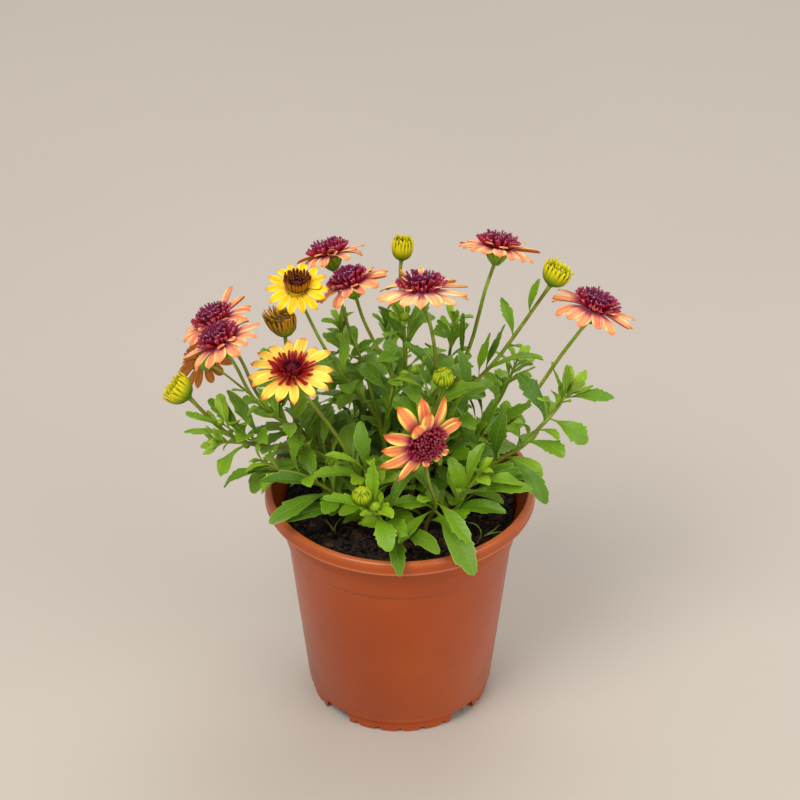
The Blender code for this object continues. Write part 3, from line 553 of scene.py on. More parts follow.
# Every bud that shows its petals: the foot of its calyx, the way it faces, its width and height
buds = {}
for name, at, face, wide, tall, tint in (
        ("top", (1, 30, 304), (0.05, 0.05, 1), 12, 13.5, "lemon"),
        ("right", (91, -4, 307), (0.42, 0.1, 0.9), 15, 14, "lemon"),
        ("far_left", (-130, -12, 230), (-0.75, 0.02, 0.65), 17, 15, "lemon"),
        ("centre", (26, -27, 250), (0.05, -0.2, 0.97), 12.5, 11, "lemon"),
        ("bronze", (-71, 22, 254), (-0.08, -0.1, 1), 17, 19, "brown"),
        ("front", (-23, -66, 190), (-0.05, -0.15, 0.99), 11.5, 10.5, "lemon")):
    buds["bud_" + name] = dict(at=at, face=face, wide=wide, tall=tall, tint=tint)

# Every shoot: its route above the soil, its thickness at the foot and the tip, the rows of leaves
# along it (from, to, how many, first and last length), single leaves (from, tip, half width) and
# side stems, which may carry the same
shoots = {
    "shoot_back_left": dict(
        way=[(-6, 14, 147), (-9, 15, 170), (-14, 17, 196)], thick=(2.3, 1.9),
        rows=[(0.3, 0.9, 4, 34, 32)],
        arms=[
            dict(start=0.9, way=[(-23, 29, 226), (-34, 40, 254)], thick=(1.6, 1.3), head="bloom_back_left",
                 rows=[(0.12, 0.5, 4, 30, 24)]),
            dict(start=0.97, way=[(-27, 13, 216), (-40, 8, 240), (-52, 2, 270)], thick=(1.7, 1.4),
                 head="bloom_yellow_small", rows=[(0.15, 0.42, 3, 32, 26)]),
            dict(start=0.75, way=[(-6, 15, 208), (-4, 15, 226), (-14, 18, 246), (-22, 20, 264)],
                 thick=(1.8, 1.5), head="bloom_left_centre", rows=[(0.25, 0.5, 3, 30, 26)]),
        ]),
    "shoot_far_left": dict(
        way=[(-22, 2, 147), (-34, 1, 160), (-55, 0, 180)], thick=(2.3, 1.9),
        rows=[(0.35, 0.95, 4, 34, 32)],
        arms=[
            dict(start=1.0, way=[(-74, 1, 204), (-88, 3, 221), (-98, 8, 244)], thick=(1.8, 1.5),
                 head="bloom_left_back", rows=[(0.05, 0.5, 4, 32, 26)],
                 arms=[dict(start=0.42, way=[(-100, 11, 223), (-110, 16, 229)], thick=(1.1, 1.0),
                            head="bloom_left_turned")]),
            dict(start=0.95, way=[(-64, -5, 200), (-78, -15, 218), (-90, -27, 241), (-98, -32, 264)],
                 thick=(1.7, 1.5), head="bloom_left_front", rows=[(0.15, 0.5, 4, 30, 22)]),
        ]),
    "shoot_left_low": dict(
        way=[(-20, -12, 147), (-29, -13, 168), (-46, -14, 186), (-66, -16, 195), (-83, -17, 196),
             (-98, -16, 200), (-112, -14, 209)],
        thick=(2.2, 1.7), head="bud_far_left",
        rows=[(0.3, 0.6, 4, 34, 30), (0.62, 0.86, 3, 22, 18)],
        tips=[(0.62, (-91, -32, 176), 6.4), (0.38, (-88, -34, 186), 5), (0.72, (-119, -8, 227), 4.6),
              (0.79, (-132, -16, 219), 3), (0.75, (-133, -24, 212), 2.6), (0.7, (-125, -30, 197), 4),
              (0.66, (-107, -8, 226), 4.4)],
        arms=[
            dict(start=0.64, way=[(-101, -20, 201)], thick=(1.1, 0.9), green=(-115, -24, 204, 6.5),
                 rows=[(0.6, 0.95, 3, 13, 11)]),
            dict(start=0.66, way=[(-100, -20, 208)], thick=(1.0, 0.8), green=(-110, -21, 217, 4)),
        ]),
    "shoot_left_rim": dict(
        way=[(-26, -24, 147), (-38, -31, 168), (-60, -36, 188), (-75, -38, 194), (-86, -36, 200)],
        thick=(2.0, 1.3), rows=[(0.2, 0.5, 2, 32, 30), (0.85, 1.0, 3, 22, 14)],
        tips=[(0.5, (-80, -62, 170), 6.8), (0.56, (-86, -54, 194), 6), (0.85, (-112, -34, 183), 4.6),
              (0.3, (-70, -58, 174), 6), (0.25, (-56, -48, 188), 5.6)]),
    "shoot_front_left": dict(
        way=[(-13, -20, 147), (-24, -29, 180), (-37, -34, 213), (-53, -40, 244)], thick=(2.2, 1.6),
        head="bloom_yellow_front", rows=[(0.12, 0.5, 6, 34, 28)]),
    "shoot_front": dict(
        way=[(16, -34, 147), (22, -42, 170), (18, -45, 188)], thick=(2.3, 1.6), head="bloom_low_front",
        rows=[(0.1, 0.25, 3, 34, 32)],
        tips=[(0.42, (45, -92, 153), 7.6), (0.5, (43, -76, 164), 5), (0.45, (36, -66, 172), 5.6),
              (0.5, (4, -32, 200), 5.6), (0.42, (-3, -50, 178), 5.4), (0.4, (4, -68, 168), 4),
              (0.45, (34, -46, 206), 4.6)]),
    "shoot_mid": dict(
        way=[(8, 4, 147), (13, 3, 180), (19, 0, 210), (22, -5, 252), (18, -5, 280)], thick=(2.2, 1.6),
        head="bloom_centre", rows=[(0.1, 0.5, 6, 34, 30)],
        tips=[(0.62, (5, -10, 270), 4.4), (0.6, (30, -2, 275), 4.4), (0.55, (40, -8, 255), 5)]),
    "shoot_back_mid": dict(
        way=[(3, 24, 147), (3, 27, 180), (3, 27, 234), (2, 28, 260), (0, 30, 290)],
        thick=(2.2, 1.4), head="bud_top", rows=[(0.15, 0.5, 6, 34, 30)],
        tips=[(0.64, (-13, 24, 273), 4), (0.52, (-16, 20, 262), 6), (0.6, (16, 36, 270), 4.4)],
        arms=[dict(start=0.45, way=[(4, 21, 240), (3, 18, 256)], thick=(1.2, 1.1),
                   green=(3, 16, 270, 6.5))]),
    "shoot_right_high": dict(
        way=[(17, 14, 147), (22, 14, 180), (34, 13, 222), (44, 12, 255), (52, 10, 294)], thick=(2.2, 1.5),
        head="bloom_top_right", rows=[(0.12, 0.5, 7, 34, 28)],
        tips=[(0.58, (41, 8, 279), 3), (0.54, (58, 14, 266), 3.4)]),
    "shoot_right": dict(
        way=[(27, 3, 147), (36, 0, 168), (50, -4, 188), (73, -8, 214), (98, -6, 256)], thick=(2.2, 1.6),
        head="bloom_far_right", rows=[(0.1, 0.38, 4, 34, 32)],
        tips=[(0.4, (83, -16, 226), 4.4), (0.38, (60, -8, 229), 4.4), (0.36, (52, -12, 212), 4)]),
    "shoot_right_bud": dict(
        way=[(20, -6, 147), (26, -3, 180), (34, -2, 216), (46, -4, 235), (59, -4, 252), (71, -4, 272)],
        thick=(2.2, 1.6), head="bud_right",
        rows=[(0.15, 0.5, 5, 34, 30), (0.56, 0.78, 2, 18, 16)],
        tips=[(0.62, (87, -8, 262), 4.2), (0.6, (57, -8, 274), 3.4), (0.63, (66, 0, 274), 3.4),
              (0.78, (61, -2, 296), 4), (0.88, (84, -8, 314), 3), (0.52, (42, -12, 264), 5.6)]),
    "shoot_right_low": dict(
        way=[(30, -9, 147), (42, -11, 164), (60, -13, 182), (76, -16, 196), (86, -14, 208), (96, -10, 219)],
        thick=(2.3, 1.7), green=(105, -6, 234, 9),
        rows=[(0.15, 0.5, 4, 34, 32), (0.6, 0.85, 2, 30, 26), (0.95, 0.99, 3, 16, 14)],
        tips=[(0.82, (116, -26, 205), 6.4), (0.93, (131, -10, 227), 5), (0.8, (128, 6, 211), 6.4),
              (0.56, (92, -44, 172), 5.6), (0.8, (72, -8, 240), 6), (0.5, (65, -24, 229), 6.4),
              (0.4, (76, -36, 184), 6.4), (0.94, (100, -8, 256), 4), (0.96, (111, -4, 258), 5),
              (0.96, (118, -10, 247), 4)]),
    "shoot_centre": dict(
        way=[(5, -13, 147), (10, -18, 180), (17, -24, 213), (24, -27, 240)],
        thick=(2.0, 1.5), head="bud_centre", rows=[(0.15, 0.7, 6, 34, 26)],
        tips=[(0.78, (42, -30, 266), 6.4), (0.7, (2, -24, 262), 5.4), (0.85, (26, -20, 270), 4)],
        arms=[dict(start=0.72, way=[(17, -20, 240)], thick=(1.1, 0.9), green=(10, -12, 250, 6))]),
    "shoot_front_low": dict(
        way=[(-4, -38, 147), (-7, -52, 158), (-12, -60, 172), (-20, -64, 184)],
        thick=(2.1, 1.5), head="bud_front", rows=[(0.1, 0.5, 2, 26, 24)],
        tips=[(0.8, (-47, -76, 199), 5), (0.62, (1, -84, 180), 6.2), (0.3, (24, -86, 165), 6.4),
              (0.35, (9, -97, 156), 5.4), (0.6, (8, -54, 200), 6), (0.85, (-19, -56, 213), 5),
              (0.85, (-32, -66, 213), 3.2), (0.7, (-7, -60, 205), 3)],
        arms=[dict(start=0.7, way=[], thick=(1.0, 0.9), green=(-15, -69, 188, 6.5))]),
    "shoot_left_bud": dict(
        way=[(-24, 14, 147), (-42, 15, 166), (-64, 14, 190), (-68, 18, 212), (-70, 21, 236)],
        thick=(2.1, 1.5), head="bud_bronze", rows=[(0.2, 0.72, 8, 34, 26)]),
    "shoot_fresh_right": dict(
        way=[(28, -26, 147), (36, -36, 164), (42, -42, 182), (50, -46, 198)], thick=(2.0, 1.3),
        rows=[(0.9, 0.99, 4, 17, 11)],
        tips=[(0.7, (81, -50, 186), 6.4), (0.62, (31, -40, 209), 6), (0.75, (49, -38, 215), 4.6),
              (0.85, (62, -42, 212), 5.4), (0.8, (70, -44, 202), 4.6), (0.55, (78, -38, 190), 5),
              (0.5, (52, -66, 184), 5), (0.4, (64, -52, 174), 5.4)]),
    "shoot_rosette": dict(
        way=[(-12, -28, 147), (-18, -36, 170), (-21, -42, 192), (-20, -44, 207)], thick=(2.0, 1.3),
        rows=[(0.3, 0.7, 3, 32, 28), (0.9, 0.99, 4, 17, 11)],
        tips=[(0.7, (-52, -54, 205), 6.6), (0.85, (-44, -48, 216), 4), (0.85, (-26, -42, 231), 5),
              (0.85, (-13, -38, 231), 4.6)]),
}

# The shoots behind, which carry no bloom: the route, where the long leaves begin and how many there are
for name, way, first, count in (
        ("behind_left", [(-12, 26), (-20, 33, 172), (-32, 40, 212), (-38, 44, 246)], 0.2, 7),
        ("behind_mid", [(-2, 38), (0, 48, 172), (-6, 62, 210), (-10, 68, 232)], 0.15, 7),
        ("behind_right", [(14, 30), (22, 38, 175), (30, 44, 215), (34, 46, 248)], 0.2, 7),
        ("far_right", [(28, 20), (42, 30, 166), (62, 40, 190), (74, 44, 220)], 0.15, 7),
        ("behind_far_left", [(-26, 28), (-44, 38, 166), (-70, 46, 188), (-84, 48, 214)], 0.2, 7),
        ("over_back_rim", [(12, 46), (18, 60, 160), (26, 76, 172), (32, 84, 182)], 0.3, 5),
        ("low_back_left", [(-16, 42), (-28, 56, 162), (-42, 68, 176), (-52, 72, 190)], 0.3, 5)):
    tall = count == 7
    shoots["shoot_" + name] = dict(
        way=[way[0] + (shootFoot,)] + way[1:], thick=(2.2 if tall else 2.1, 1.3),
        rows=[(first, 0.84, count, 34 if tall else 30, 27 if tall else 26),
              (0.92, 0.99, 4 if tall else 3, 19, 14)])
shoots["shoot_over_back_rim"]["tips"] = [(0.7, (20, 97, 160), 5.6)]

# Half widths of the blades along their length: a large leaf with two teeth a side, a leaf with
# one and a young leaf
leafEdge = ((0, 0.16), (0.6, 1.0), (0.68, 0.74), (0.85, 0.64), (1, 0))
rowEdge = ((0, 0.16), (0.64, 1.0), (0.74, 0.68), (1, 0))
youngEdge = ((0, 0.2), (0.6, 1.0), (1, 0))


def smoothWay(points, spacing):
    # a curve through the points, in metres, with a point about every spacing millimetres
    knots = [Vector(p) for p in points]
    knots = [knots[0] * 2 - knots[1]] + knots + [knots[-1] * 2 - knots[-2]]
    way = []
    for a, b, c, d in zip(knots, knots[1:], knots[2:], knots[3:]):
        count = max(1, round((c - b).length / spacing))
        for k in range(count):
            t = k / count
            bend = (a * 2 - b * 5 + c * 4 - d) * t * t + (b * 3 - a - c * 3 + d) * t ** 3
            way.append((b * 2 + (c - a) * t + bend) * mm / 2)
    return way + [knots[-2] * mm]


def along(way, share):
    # the point and the direction at a share of the curve's length
    lengths = [(b - a).length for a, b in zip(way, way[1:])]
    left = share * sum(lengths)
    for a, b, length in zip(way, way[1:], lengths):
        if left <= length:
            break
        left -= length
    return a.lerp(b, min(1, left / length)), (b - a).normalized()


def headFrame(face):
    # the turn that lays +Z along face
    return Vector(face).to_track_quat("Z", "Y").to_matrix()


def bladeAt(blade, t):
    # the point, the normal and the side of a blade at a share of its length
    root, tip, lift = blade["root"], blade["tip"], blade["lift"]
    chord = (tip - root).normalized()
    rise = (blade["up"] - chord * blade["up"].dot(chord)).normalized()
    middle = (root + tip) / 2 + rise * lift * 2
    point = root * (1 - t) ** 2 + middle * 2 * t * (1 - t) + tip * t * t
    ahead = ((middle - root) * (1 - t) + (tip - middle) * t).normalized()
    normal = (rise - ahead * rise.dot(ahead)).normalized()
    normal = (normal + ahead.cross(normal) * blade.get("twist", 0) * t).normalized()
    return point, normal, ahead.cross(normal)


def bladeMesh(blade, grow=0, start=0):
    # a closed blade of three long faces: flat above, keeled below, cut by the same lines on each
    edge = blade["edge"]
    if start:
        (t, w), (nextT, nextW) = edge[:2]
        edge = ((start, w + (nextW - w) * start / nextT),) + edge[1:]
    verts, faces = [], [(0, 1, 2)]
    for t, width in edge[:-1]:
        point, normal, side = bladeAt(blade, t)
        wide = side * (blade["half"] * width + grow)
        verts += [point - wide + normal * grow, point + wide + normal * grow,
                  point - normal * (bladeThickness * mm + grow)]
    tip = len(verts)
    verts.append(bladeAt(blade, 1)[0])
    for a in range(0, tip - 3, 3):
        b = a + 3
        faces += [(a, b, a + 1), (b, b + 1, a + 1), (a + 1, b + 1, a + 2), (b + 1, b + 2, a + 2),
                  (a, a + 2, b), (a + 2, b + 2, b)]
    return verts, faces + [(tip - 3, tip, tip - 2), (tip - 2, tip, tip - 1), (tip - 1, tip, tip - 3)]


def turned(profile, sides, frame=None, at=Vector()):
    # a closed solid turned round +Z from points (radius, height) in millimetres, top middle first
    verts, faces, rings = [], [], []
    for radius, height in profile:
        count = 1 if radius == 0 else sides
        rings.append(range(len(verts), len(verts) + count))
        for k in range(count):
            angle = 2 * pi * k / sides
            verts.append(Vector((radius * cos(angle), radius * sin(angle), height)) * mm)
    for high, low in zip(rings, rings[1:]):
        for k in range(sides):
            after = k + 1
            ring = [high[k % len(high)], low[k % len(low)], low[after % len(low)], high[after % len(high)]]
            faces.append(tuple(dict.fromkeys(ring)))
    if frame:
        verts = [at + frame @ v for v in verts]
    return verts, faces


def petalBlades(bloom):
    # the petals of a bloom, side by side: none is wide enough to touch the next
    frame = headFrame(bloom["face"])
    centre = Vector(bloom["at"]) * mm
    count = bloom["petals"]
    draw = Random(count * 7 + int(bloom["size"] * 10))
    blades = []
    for k in range(count):
        angle = 2 * pi * (k + draw.uniform(-0.03, 0.03)) / count
        ray = spin(angle)
        reach = bloom["size"] * draw.uniform(0.95, 1.03)
        if "longWay" in bloom:
            reach *= 0.74 + 0.26 * (frame @ ray).dot(Vector(bloom["longWay"]))
        level = 0.5 if k % 2 else -0.5
        drop = bloom["drop"] * draw.uniform(0.5, 1.5)
        blades.append(dict(
            root=centre + frame @ ray * hub * mm,
            tip=centre + frame @ (ray * reach + up * (level - drop)) * mm,
            lift=0.05 * reach * mm, up=frame @ up, half=0.88 * pi / count * (1.9 + 0.7 * reach) * mm,
            twist=draw.uniform(-0.15, 0.15)))
    return blades


def petalsMesh(bloom):
    # a round hub whose sides are each drawn out into a petal, widest at three quarters
    frame = headFrame(bloom["face"])
    centre = Vector(bloom["at"]) * mm
    count = bloom["petals"]
    verts, faces = [], []
    for height in (0.7, -1.2):
        for k in range(count):
            angle = 2 * pi * (k - 0.5) / count
            verts.append(centre + frame @ Vector((hub * cos(angle), hub * sin(angle), height)) * mm)
    faces += [tuple(range(count)), tuple(range(2 * count - 1, count - 1, -1))]
    for k, blade in enumerate(petalBlades(bloom)):
        ring = (k, (k + 1) % count, count + (k + 1) % count, count + k)
        for t, width in ((0.7, 1), (1, 0.45)):
            point, normal, side = bladeAt(blade, t)
            side = side * blade["half"] * width
            thick = normal * petalThickness / 2 * mm
            first = len(verts)
            verts += [point - side + thick, point + side + thick, point + side - thick,
                      point - side - thick]
            if (verts[first] - verts[ring[0]]).length > (verts[first + 1] - verts[ring[0]]).length:
                verts[first:] = [verts[first + 1], verts[first], verts[first + 3], verts[first + 2]]
            # the upper and the lower face are split along the same line
            a, b, c, d = ring
            e, f, g, h = range(first, first + 4)
            faces += [(a, b, f), (a, f, e), (b, c, g), (b, g, f), (c, d, g), (d, h, g), (d, a, e),
                      (d, e, h)]
            ring = (e, f, g, h)
        faces.append(ring)
    return verts, faces


def discMesh(bloom):
    # the crown of florets: narrow where it meets the petals, spread and ridged above them
    wide = bloom["disc"]
    high = 4.5 + wide * 0.22
    sides = 12
    profile = [(0, high * 0.86), (wide * 0.42, high), (wide * 0.76, high * 1.02), (wide, high * 0.74),
               (5.4, 1 + gap), (0, 1 + gap)]
    verts, faces = turned(profile, sides)
    draw = Random(int(wide * 20))
    frame = headFrame(bloom["face"])
    for k, v in enumerate(verts):
        ring, step = divmod(k - 1, sides)
        if k and ring < 3:
            push = 1.1 if (step + ring) % 2 else 0.86
            v = Vector((v.x * push, v.y * push, v.z * (1.07 if (step + ring) % 2 else 0.92)))
            v.z += draw.uniform(-0.3, 0.3) * mm
        verts[k] = Vector(bloom["at"]) * mm + frame @ v
    return verts, faces


def calyxMesh(head):
    # the green cup under a bloom or round the lower half of a bud
    if "size" in head:
        profile = [(0, -1.2 - gap), (6.1, -1.2 - gap), (4.8, -4.4), (1.9, -8.6), (0, -8.6)]
    else:
        wide, tall = head["wide"], head["tall"]
        profile = [(0, tall / 2), (wide * 0.47, tall / 2), (wide * 0.4, tall * 0.22),
                   (1.8, -1.2), (0, -1.2)]
    return turned(profile, 8, headFrame(head["face"]), Vector(head["at"]) * mm)


def budMesh(bud):
    # the petals of an opening bud: a ribbed dome over the flat top of its calyx
    wide, tall = bud["wide"], bud["tall"]
    profile = [(0, tall * 0.93), (wide * 0.2, tall), (wide * 0.38, tall * 0.84), (wide * 0.46, tall * 0.6),
               (wide * 0.42, tall / 2 + gap), (0, tall / 2 + gap)]
    sides = 12
    verts, faces = turned(profile, sides)
    frame = headFrame(bud["face"])
    for k, v in enumerate(verts):
        ring, step = divmod(k - 1, sides)
        if k and ring < 3:
            push = 1.06 if step % 2 else 0.9
            v = Vector((v.x * push, v.y * push, v.z))
        verts[k] = Vector(bud["at"]) * mm + frame @ v
    return verts, faces


def greenMesh(x, y, z, size, face):
    # a closed green bud
    profile = [(0, size * 0.55), (size * 0.42, size * 0.2), (size * 0.4, size * -0.25), (0, size * -0.5)]
    return turned(profile, 6, headFrame(face), Vector((x, y, z)) * mm)


standing = []


def box(verts):
    return [min(v[i] for v in verts) for i in range(3)], [max(v[i] for v in verts) for i in range(3)]


def note(mesh, stem=None):
    # remembers what already stands, so that later leaves keep clear of it; stem is given for its own skin
    standing.append((stem, *box(mesh[0]), BVHTree.FromPolygons(*mesh)))


def clear(stem, blade):
    # whether a blade passes everything but the stem that it grows from
    verts, faces = bladeMesh(blade, 0.5 * mm, 0.07)
    if any(hypot(v.x, v.y) < 76 * mm and v.z < (soilTop + 4.5) * mm for v in verts):
        return False
    low, high = box(verts)
    tree = BVHTree.FromPolygons(verts, faces)
    for other, far, near, shape in standing:
        if other is stem or any(high[i] < far[i] or low[i] > near[i] for i in range(3)):
            continue
        if tree.overlap(shape):
            return False
    return True


def grow(stem, start=None):
    # the route of a stem and of its side stems, whose sleeve is a little thicker than they are
    points = list(stem["way"])
    if start:
        points = [tuple(start / mm)] + points
    head = blooms.get(stem.get("head")) or buds.get(stem.get("head"))
    if head:
        stalk = 7.5 if "size" in head else 0.5
        points.append(tuple(Vector(head["at"]) - Vector(head["face"]).normalized() * stalk))
    elif "green" in stem:
        points.append(stem["green"][:3])
    route = stem["route"] = smoothWay(points, stemSpacing)
    if not start:
        route.insert(0, route[0] - up * (shootFoot - soilTop + rootDepth) * mm)
    stem["blades"] = []
    sleeve = Skin()
    foot, tip = stem["thick"]
    last = len(route) - 1
    radii = [(foot + (tip - foot) * k / last) * 1.15 * mm for k in range(last + 1)]
    addTube(sleeve, route, radii, 6, caps=False)
    note((sleeve.points, sleeve.faces), stem)
    if head:
        note(calyxMesh(head))
    elif "green" in stem:
        note(greenMesh(*stem["green"], route[-1] - route[-2]))
    for arm in stem.get("arms", []):
        grow(arm, along(route, arm["start"])[0])


def everyStem(stem):
    # a stem and all that grow from it
    return [stem] + [each for arm in stem.get("arms", []) for each in everyStem(arm)]


def stand(stem, blades):
    # keeps the first of these blades that is clear of everything
    for blade in blades:
        if clear(stem, blade):
            stem["blades"].append(blade)
            note(bladeMesh(blade))
            return


def leafBlade(root, tip, half, way, edge):
    return dict(root=root, tip=tip, lift=(tip - root).length * 0.12, up=way, half=half, edge=edge)


nudges = [(0, 0, 0), (0, 0, 5), (0, 0, -5), (5, 0, 0), (-5, 0, 0), (0, -6, 0), (0, 6, 0), (5, 0, 6),
          (-5, 0, 6), (5, -5, -5), (-5, -5, -5), (0, -6, 8), (0, 6, 8), (9, 0, 0), (-9, 0, 0), (0, 0, 11),
          (9, 0, 9), (-9, 0, 9), (0, 9, 12), (0, -9, 12)]
shifts = (0, 24, -24, 48, -48, 75, -75, 110, -110, 150)


def tipBlade(root, end, half):
    way = up * 0.9 + (end - root).normalized() * 0.2 - Vector((0, 0.35, 0))
    return leafBlade(root, end, half * mm, way,
                     leafEdge if (end - root).length > longLeaf * mm else youngEdge)


def growTips(stem):
    # the single leaves: each keeps its tip as near as it can
    for share, tip, half in stem.get("tips", []):
        root = along(stem["route"], share)[0]
        stand(stem, (tipBlade(root, (Vector(tip) + Vector(nudge)) * mm, half) for nudge in nudges))


def spoke(ahead, angle):
    # a direction square to ahead
    across = Vector((1, 0, 0)) if abs(ahead.x) < 0.7 else up
    across = (across - ahead * ahead.dot(across)).normalized()
    return across * cos(angle) + ahead.cross(across) * sin(angle)


def rowBlade(root, ahead, length, scale, slim, lean, turn):
    lean = radians(lean)
    way = ahead * cos(lean) + spoke(ahead, radians(turn)) * sin(lean) + up * 0.12
    tip = root + way.normalized() * length * scale * mm
    return leafBlade(root, tip, length * scale * slim * mm, up * 0.9 + ahead * 0.5,
                     rowEdge if length > longLeaf else youngEdge)


def growRows(stem, draw):
    # the rows of leaves: each takes the first free place near its own
    turn = draw.uniform(0, 360)
    for first, last, count, longest, shortest in stem.get("rows", []):
        for k in range(count):
            turn += leafTurn
            root, ahead = along(stem["route"], first + (last - first) * (k + 0.5) / count)
            length = longest + (shortest - longest) * k / max(1, count - 1)
            length *= draw.uniform(0.92, 1.06)
            slope = (60 if length > longLeaf else 40) + draw.uniform(-8, 8)
            slim = draw.uniform(0.2, 0.25)
            stand(stem, (rowBlade(root, ahead, length, scale, slim, slope + swing, turn + shift)
                         for scale in (1, 0.84, 0.7) for swing in (0, -14, 14) for shift in shifts))


def layOut():
    # the whole plant: stems and heads first, then single leaves, then rows
    rim = [(77, 143.5), (78.4, 150), (80.2, 155), (82.3, 156.8), (84.8, 156), (86, 152.5), (85.6, 147),
           (84, 143.5)]
    note(turned(rim, potSides))
    for bloom in blooms.values():
        note(petalsMesh(bloom))
        note(discMesh(bloom))
    for bud in buds.values():
        note(budMesh(bud))
    for shoot in shoots.values():
        grow(shoot)
    for shoot in shoots.values():
        for stem in everyStem(shoot):
            growTips(stem)
    for number, shoot in enumerate(shoots.values()):
        draw = Random(number + 11)
        for stem in everyStem(shoot):
            growRows(stem, draw)


# Leaves, stems and green cups, with the slots of their materials on a leafy piece

stemSlot, cupSlot, leafSlots = 0, 1, (2, 3)

# line is half the width at shares of the length; the pairs are the bounds of random draws, and teeth
# the counts to choose from for a large and a small leaf
leafForm = dict(
    line=((0, 0.13), (0.1, 0.12), (0.2, 0.18), (0.34, 0.44), (0.48, 0.79), (0.6, 0.98), (0.7, 1.0),
          (0.8, 0.86), (0.9, 0.57), (0.96, 0.3), (1, 0)),
    shares=(0, 0.07, 0.14, 0.21, 0.28, 0.35, 0.42, 0.49, 0.56, 0.63, 0.7, 0.77, 0.84, 0.9, 0.95, 1),
    across=(-1, -0.72, -0.42, -0.14, 0, 0.14, 0.42, 0.72, 1), thick=0.55, wide=(0.72, 0.99),
    fold=(0.05, 0.5), wave=(0.3, 1.3), bend=(-4.0, 7.0), twist=(-0.7, 0.7), rim=(58, 172),
    teeth=((1, 2, 2, 3), (0, 0, 1, 1)), tooth=(0.1, 0.24), rise=0.11, cut=0.013, fall=0.09)


def lineAt(line, t):
    # the height at t of a line through points
    for (a, low), (b, high) in zip(line, line[1:]):
        if t <= b:
            return low + (high - low) * (t - a) / (b - a)
    return line[-1][1]


def toothed(teeth, t):
    # how a row of forward teeth widens or narrows the edge at t: a tooth rises to its point, is cut
    # back at once and then falls level again
    rise, cut, fall = (leafForm[name] for name in ("rise", "cut", "fall"))
    push = 0
    for place, size in teeth:
        if place - rise < t <= place:
            push += size * (t - place + rise) / rise
        elif place < t <= place + cut:
            push += size * (place + cut - t) / cut
        elif place < t < place + fall:
            push -= size * 0.7 * (place + fall - t) / 0.076
    return 1 + push


def addLeaf(skin, blade, draw, fresh):
    # points along and across a blade's curve, with the leaf's own fold, wave, bend, twist and teeth
    form = leafForm
    length = (blade["tip"] - blade["root"]).length / mm
    big = blade["edge"] is not youngEdge
    half = blade["half"] / mm * draw.uniform(*form["wide"])
    teeth = {}
    for side in (-1, 1):
        count = draw.choice(form["teeth"][0 if big else 1])
        teeth[side] = [(0.6 + 0.28 * (k + draw.uniform(0.1, 0.9)) / count, draw.uniform(*form["tooth"]))
                       for k in range(count)]
    extra = [t for side in (-1, 1) for place, _ in teeth[side] for t in (place, place + form["cut"])]
    shares = sorted(set(form["shares"][::1 if big else 2] + (1,) + tuple(extra)))
    across = form["across"] if big else form["across"][::2]
    fold, wave, bend, twist = (draw.uniform(*form[name]) for name in ("fold", "wave", "bend", "twist"))
    beats, phase = draw.uniform(5, 11), draw.uniform(0, 6)
    tip = blade["tip"] / mm
    if hypot(tip.x, tip.y) > form["rim"][0] and tip.z < form["rim"][1]:
        # a leaf that lies over the pot's lip keeps clear of it
        bend, wave, twist = min(bend, 0), wave * 0.4, twist * 0.3
    # fresh makes a leaf younger and paler; the amounts the front and low shoots get also paint light into
    # their shade
    age = 0.05 + 0.8 * (length - 10) / 26 + draw.uniform(-0.2, 0.2) - fresh
    shade = (max(0, min(1, age)), draw.uniform(0, 1), 1 if big else 0.4)

    def middle(t, v):
        point, normal, side = bladeAt(blade, t)
        ahead = normal.cross(side)
        width = half * lineAt(form["line"], t)
        if v:
            width *= toothed(teeth[1 if v > 0 else -1], t)
        off = width * v
        rise = fold * abs(off) - bend * (length / 30) * t ** 3
        rise += wave * sin(t * beats + phase + (1.9 if v > 0 else 0)) * v * v * min(1, t * 2.5)
        slip = v * v * 0.03 * length * (0.5 < t < 1)
        c, s = cos(twist * t), sin(twist * t)
        side, normal = side * c + normal * s, normal * c - side * s
        place = point + (side * off + normal * rise + ahead * slip) * mm
        return place, normal, (t * length, off, v)

    addSheet(skin, middle, shares, across, form["thick"] * mm, leafSlots, shade, True)


stemForm = dict(spacing=4, sides=10, ridge=0.05, share=0.68)


def addStem(skin, stem, draw):
    form = stemForm
    way = smoothWay([tuple(p / mm) for p in stem["route"]], form["spacing"])
    last = len(way) - 1
    radii = []
    for k in range(last + 1):
        radius = (stem["thick"][0] + (stem["thick"][1] - stem["thick"][0]) * k / last) * form["share"]
        if "head" in stem:
            radius *= 1 + 0.35 * max(0, k - last + 2) / 2
        radii.append(radius * (1 + 0.05 * noise.noise(way[k] * 120)) * mm)
    if not ("head" in stem or "green" in stem):
        radii[-1] *= 0.5
    age = 0.9 if stem["thick"][0] > 1.9 else 0.75

    def spotAt(along, turn, place):
        return (turn, along * last, (place.z / mm - soilTop) / 10)

    addTube(skin, way, radii, form["sides"], stemSlot, spotAt, (age, draw.uniform(0, 1), 0), form["ridge"])


cupForm = dict(sides=26, bracts=14, bract=((0, 0.7), (0.35, 1), (0.75, 0.8), (0.9, 0.45), (1, 0)))


def addBracts(skin, frame, at, line, count, half, ripe, draw, shade):
    # pointed bracts that lie on a cup; line is (radius, height) from foot to tip
    for k in range(count):
        angle = 2 * pi * (k + draw.uniform(-0.12, 0.12)) / count
        lift = draw.uniform(0.9, 1.08)

        def middle(t, v):
            radius = lineAt([(s, r) for s, r, _ in line], t)
            height = lineAt([(s, z) for s, _, z in line], t) * lift
            turn = angle + v * half * lineAt(cupForm["bract"], t) / max(radius, 1)
            out = spin(turn)
            place = at + frame @ (out * radius + up * height) * mm
            return place, frame @ (out + up * -0.3).normalized(), (t, v, ripe)

        addSheet(skin, middle, (0, 0.2, 0.4, 0.6, 0.75, 0.88, 1), (-1, -0.4, 0.4, 1), 0.5 * mm,
                 (cupSlot, cupSlot), shade, True)


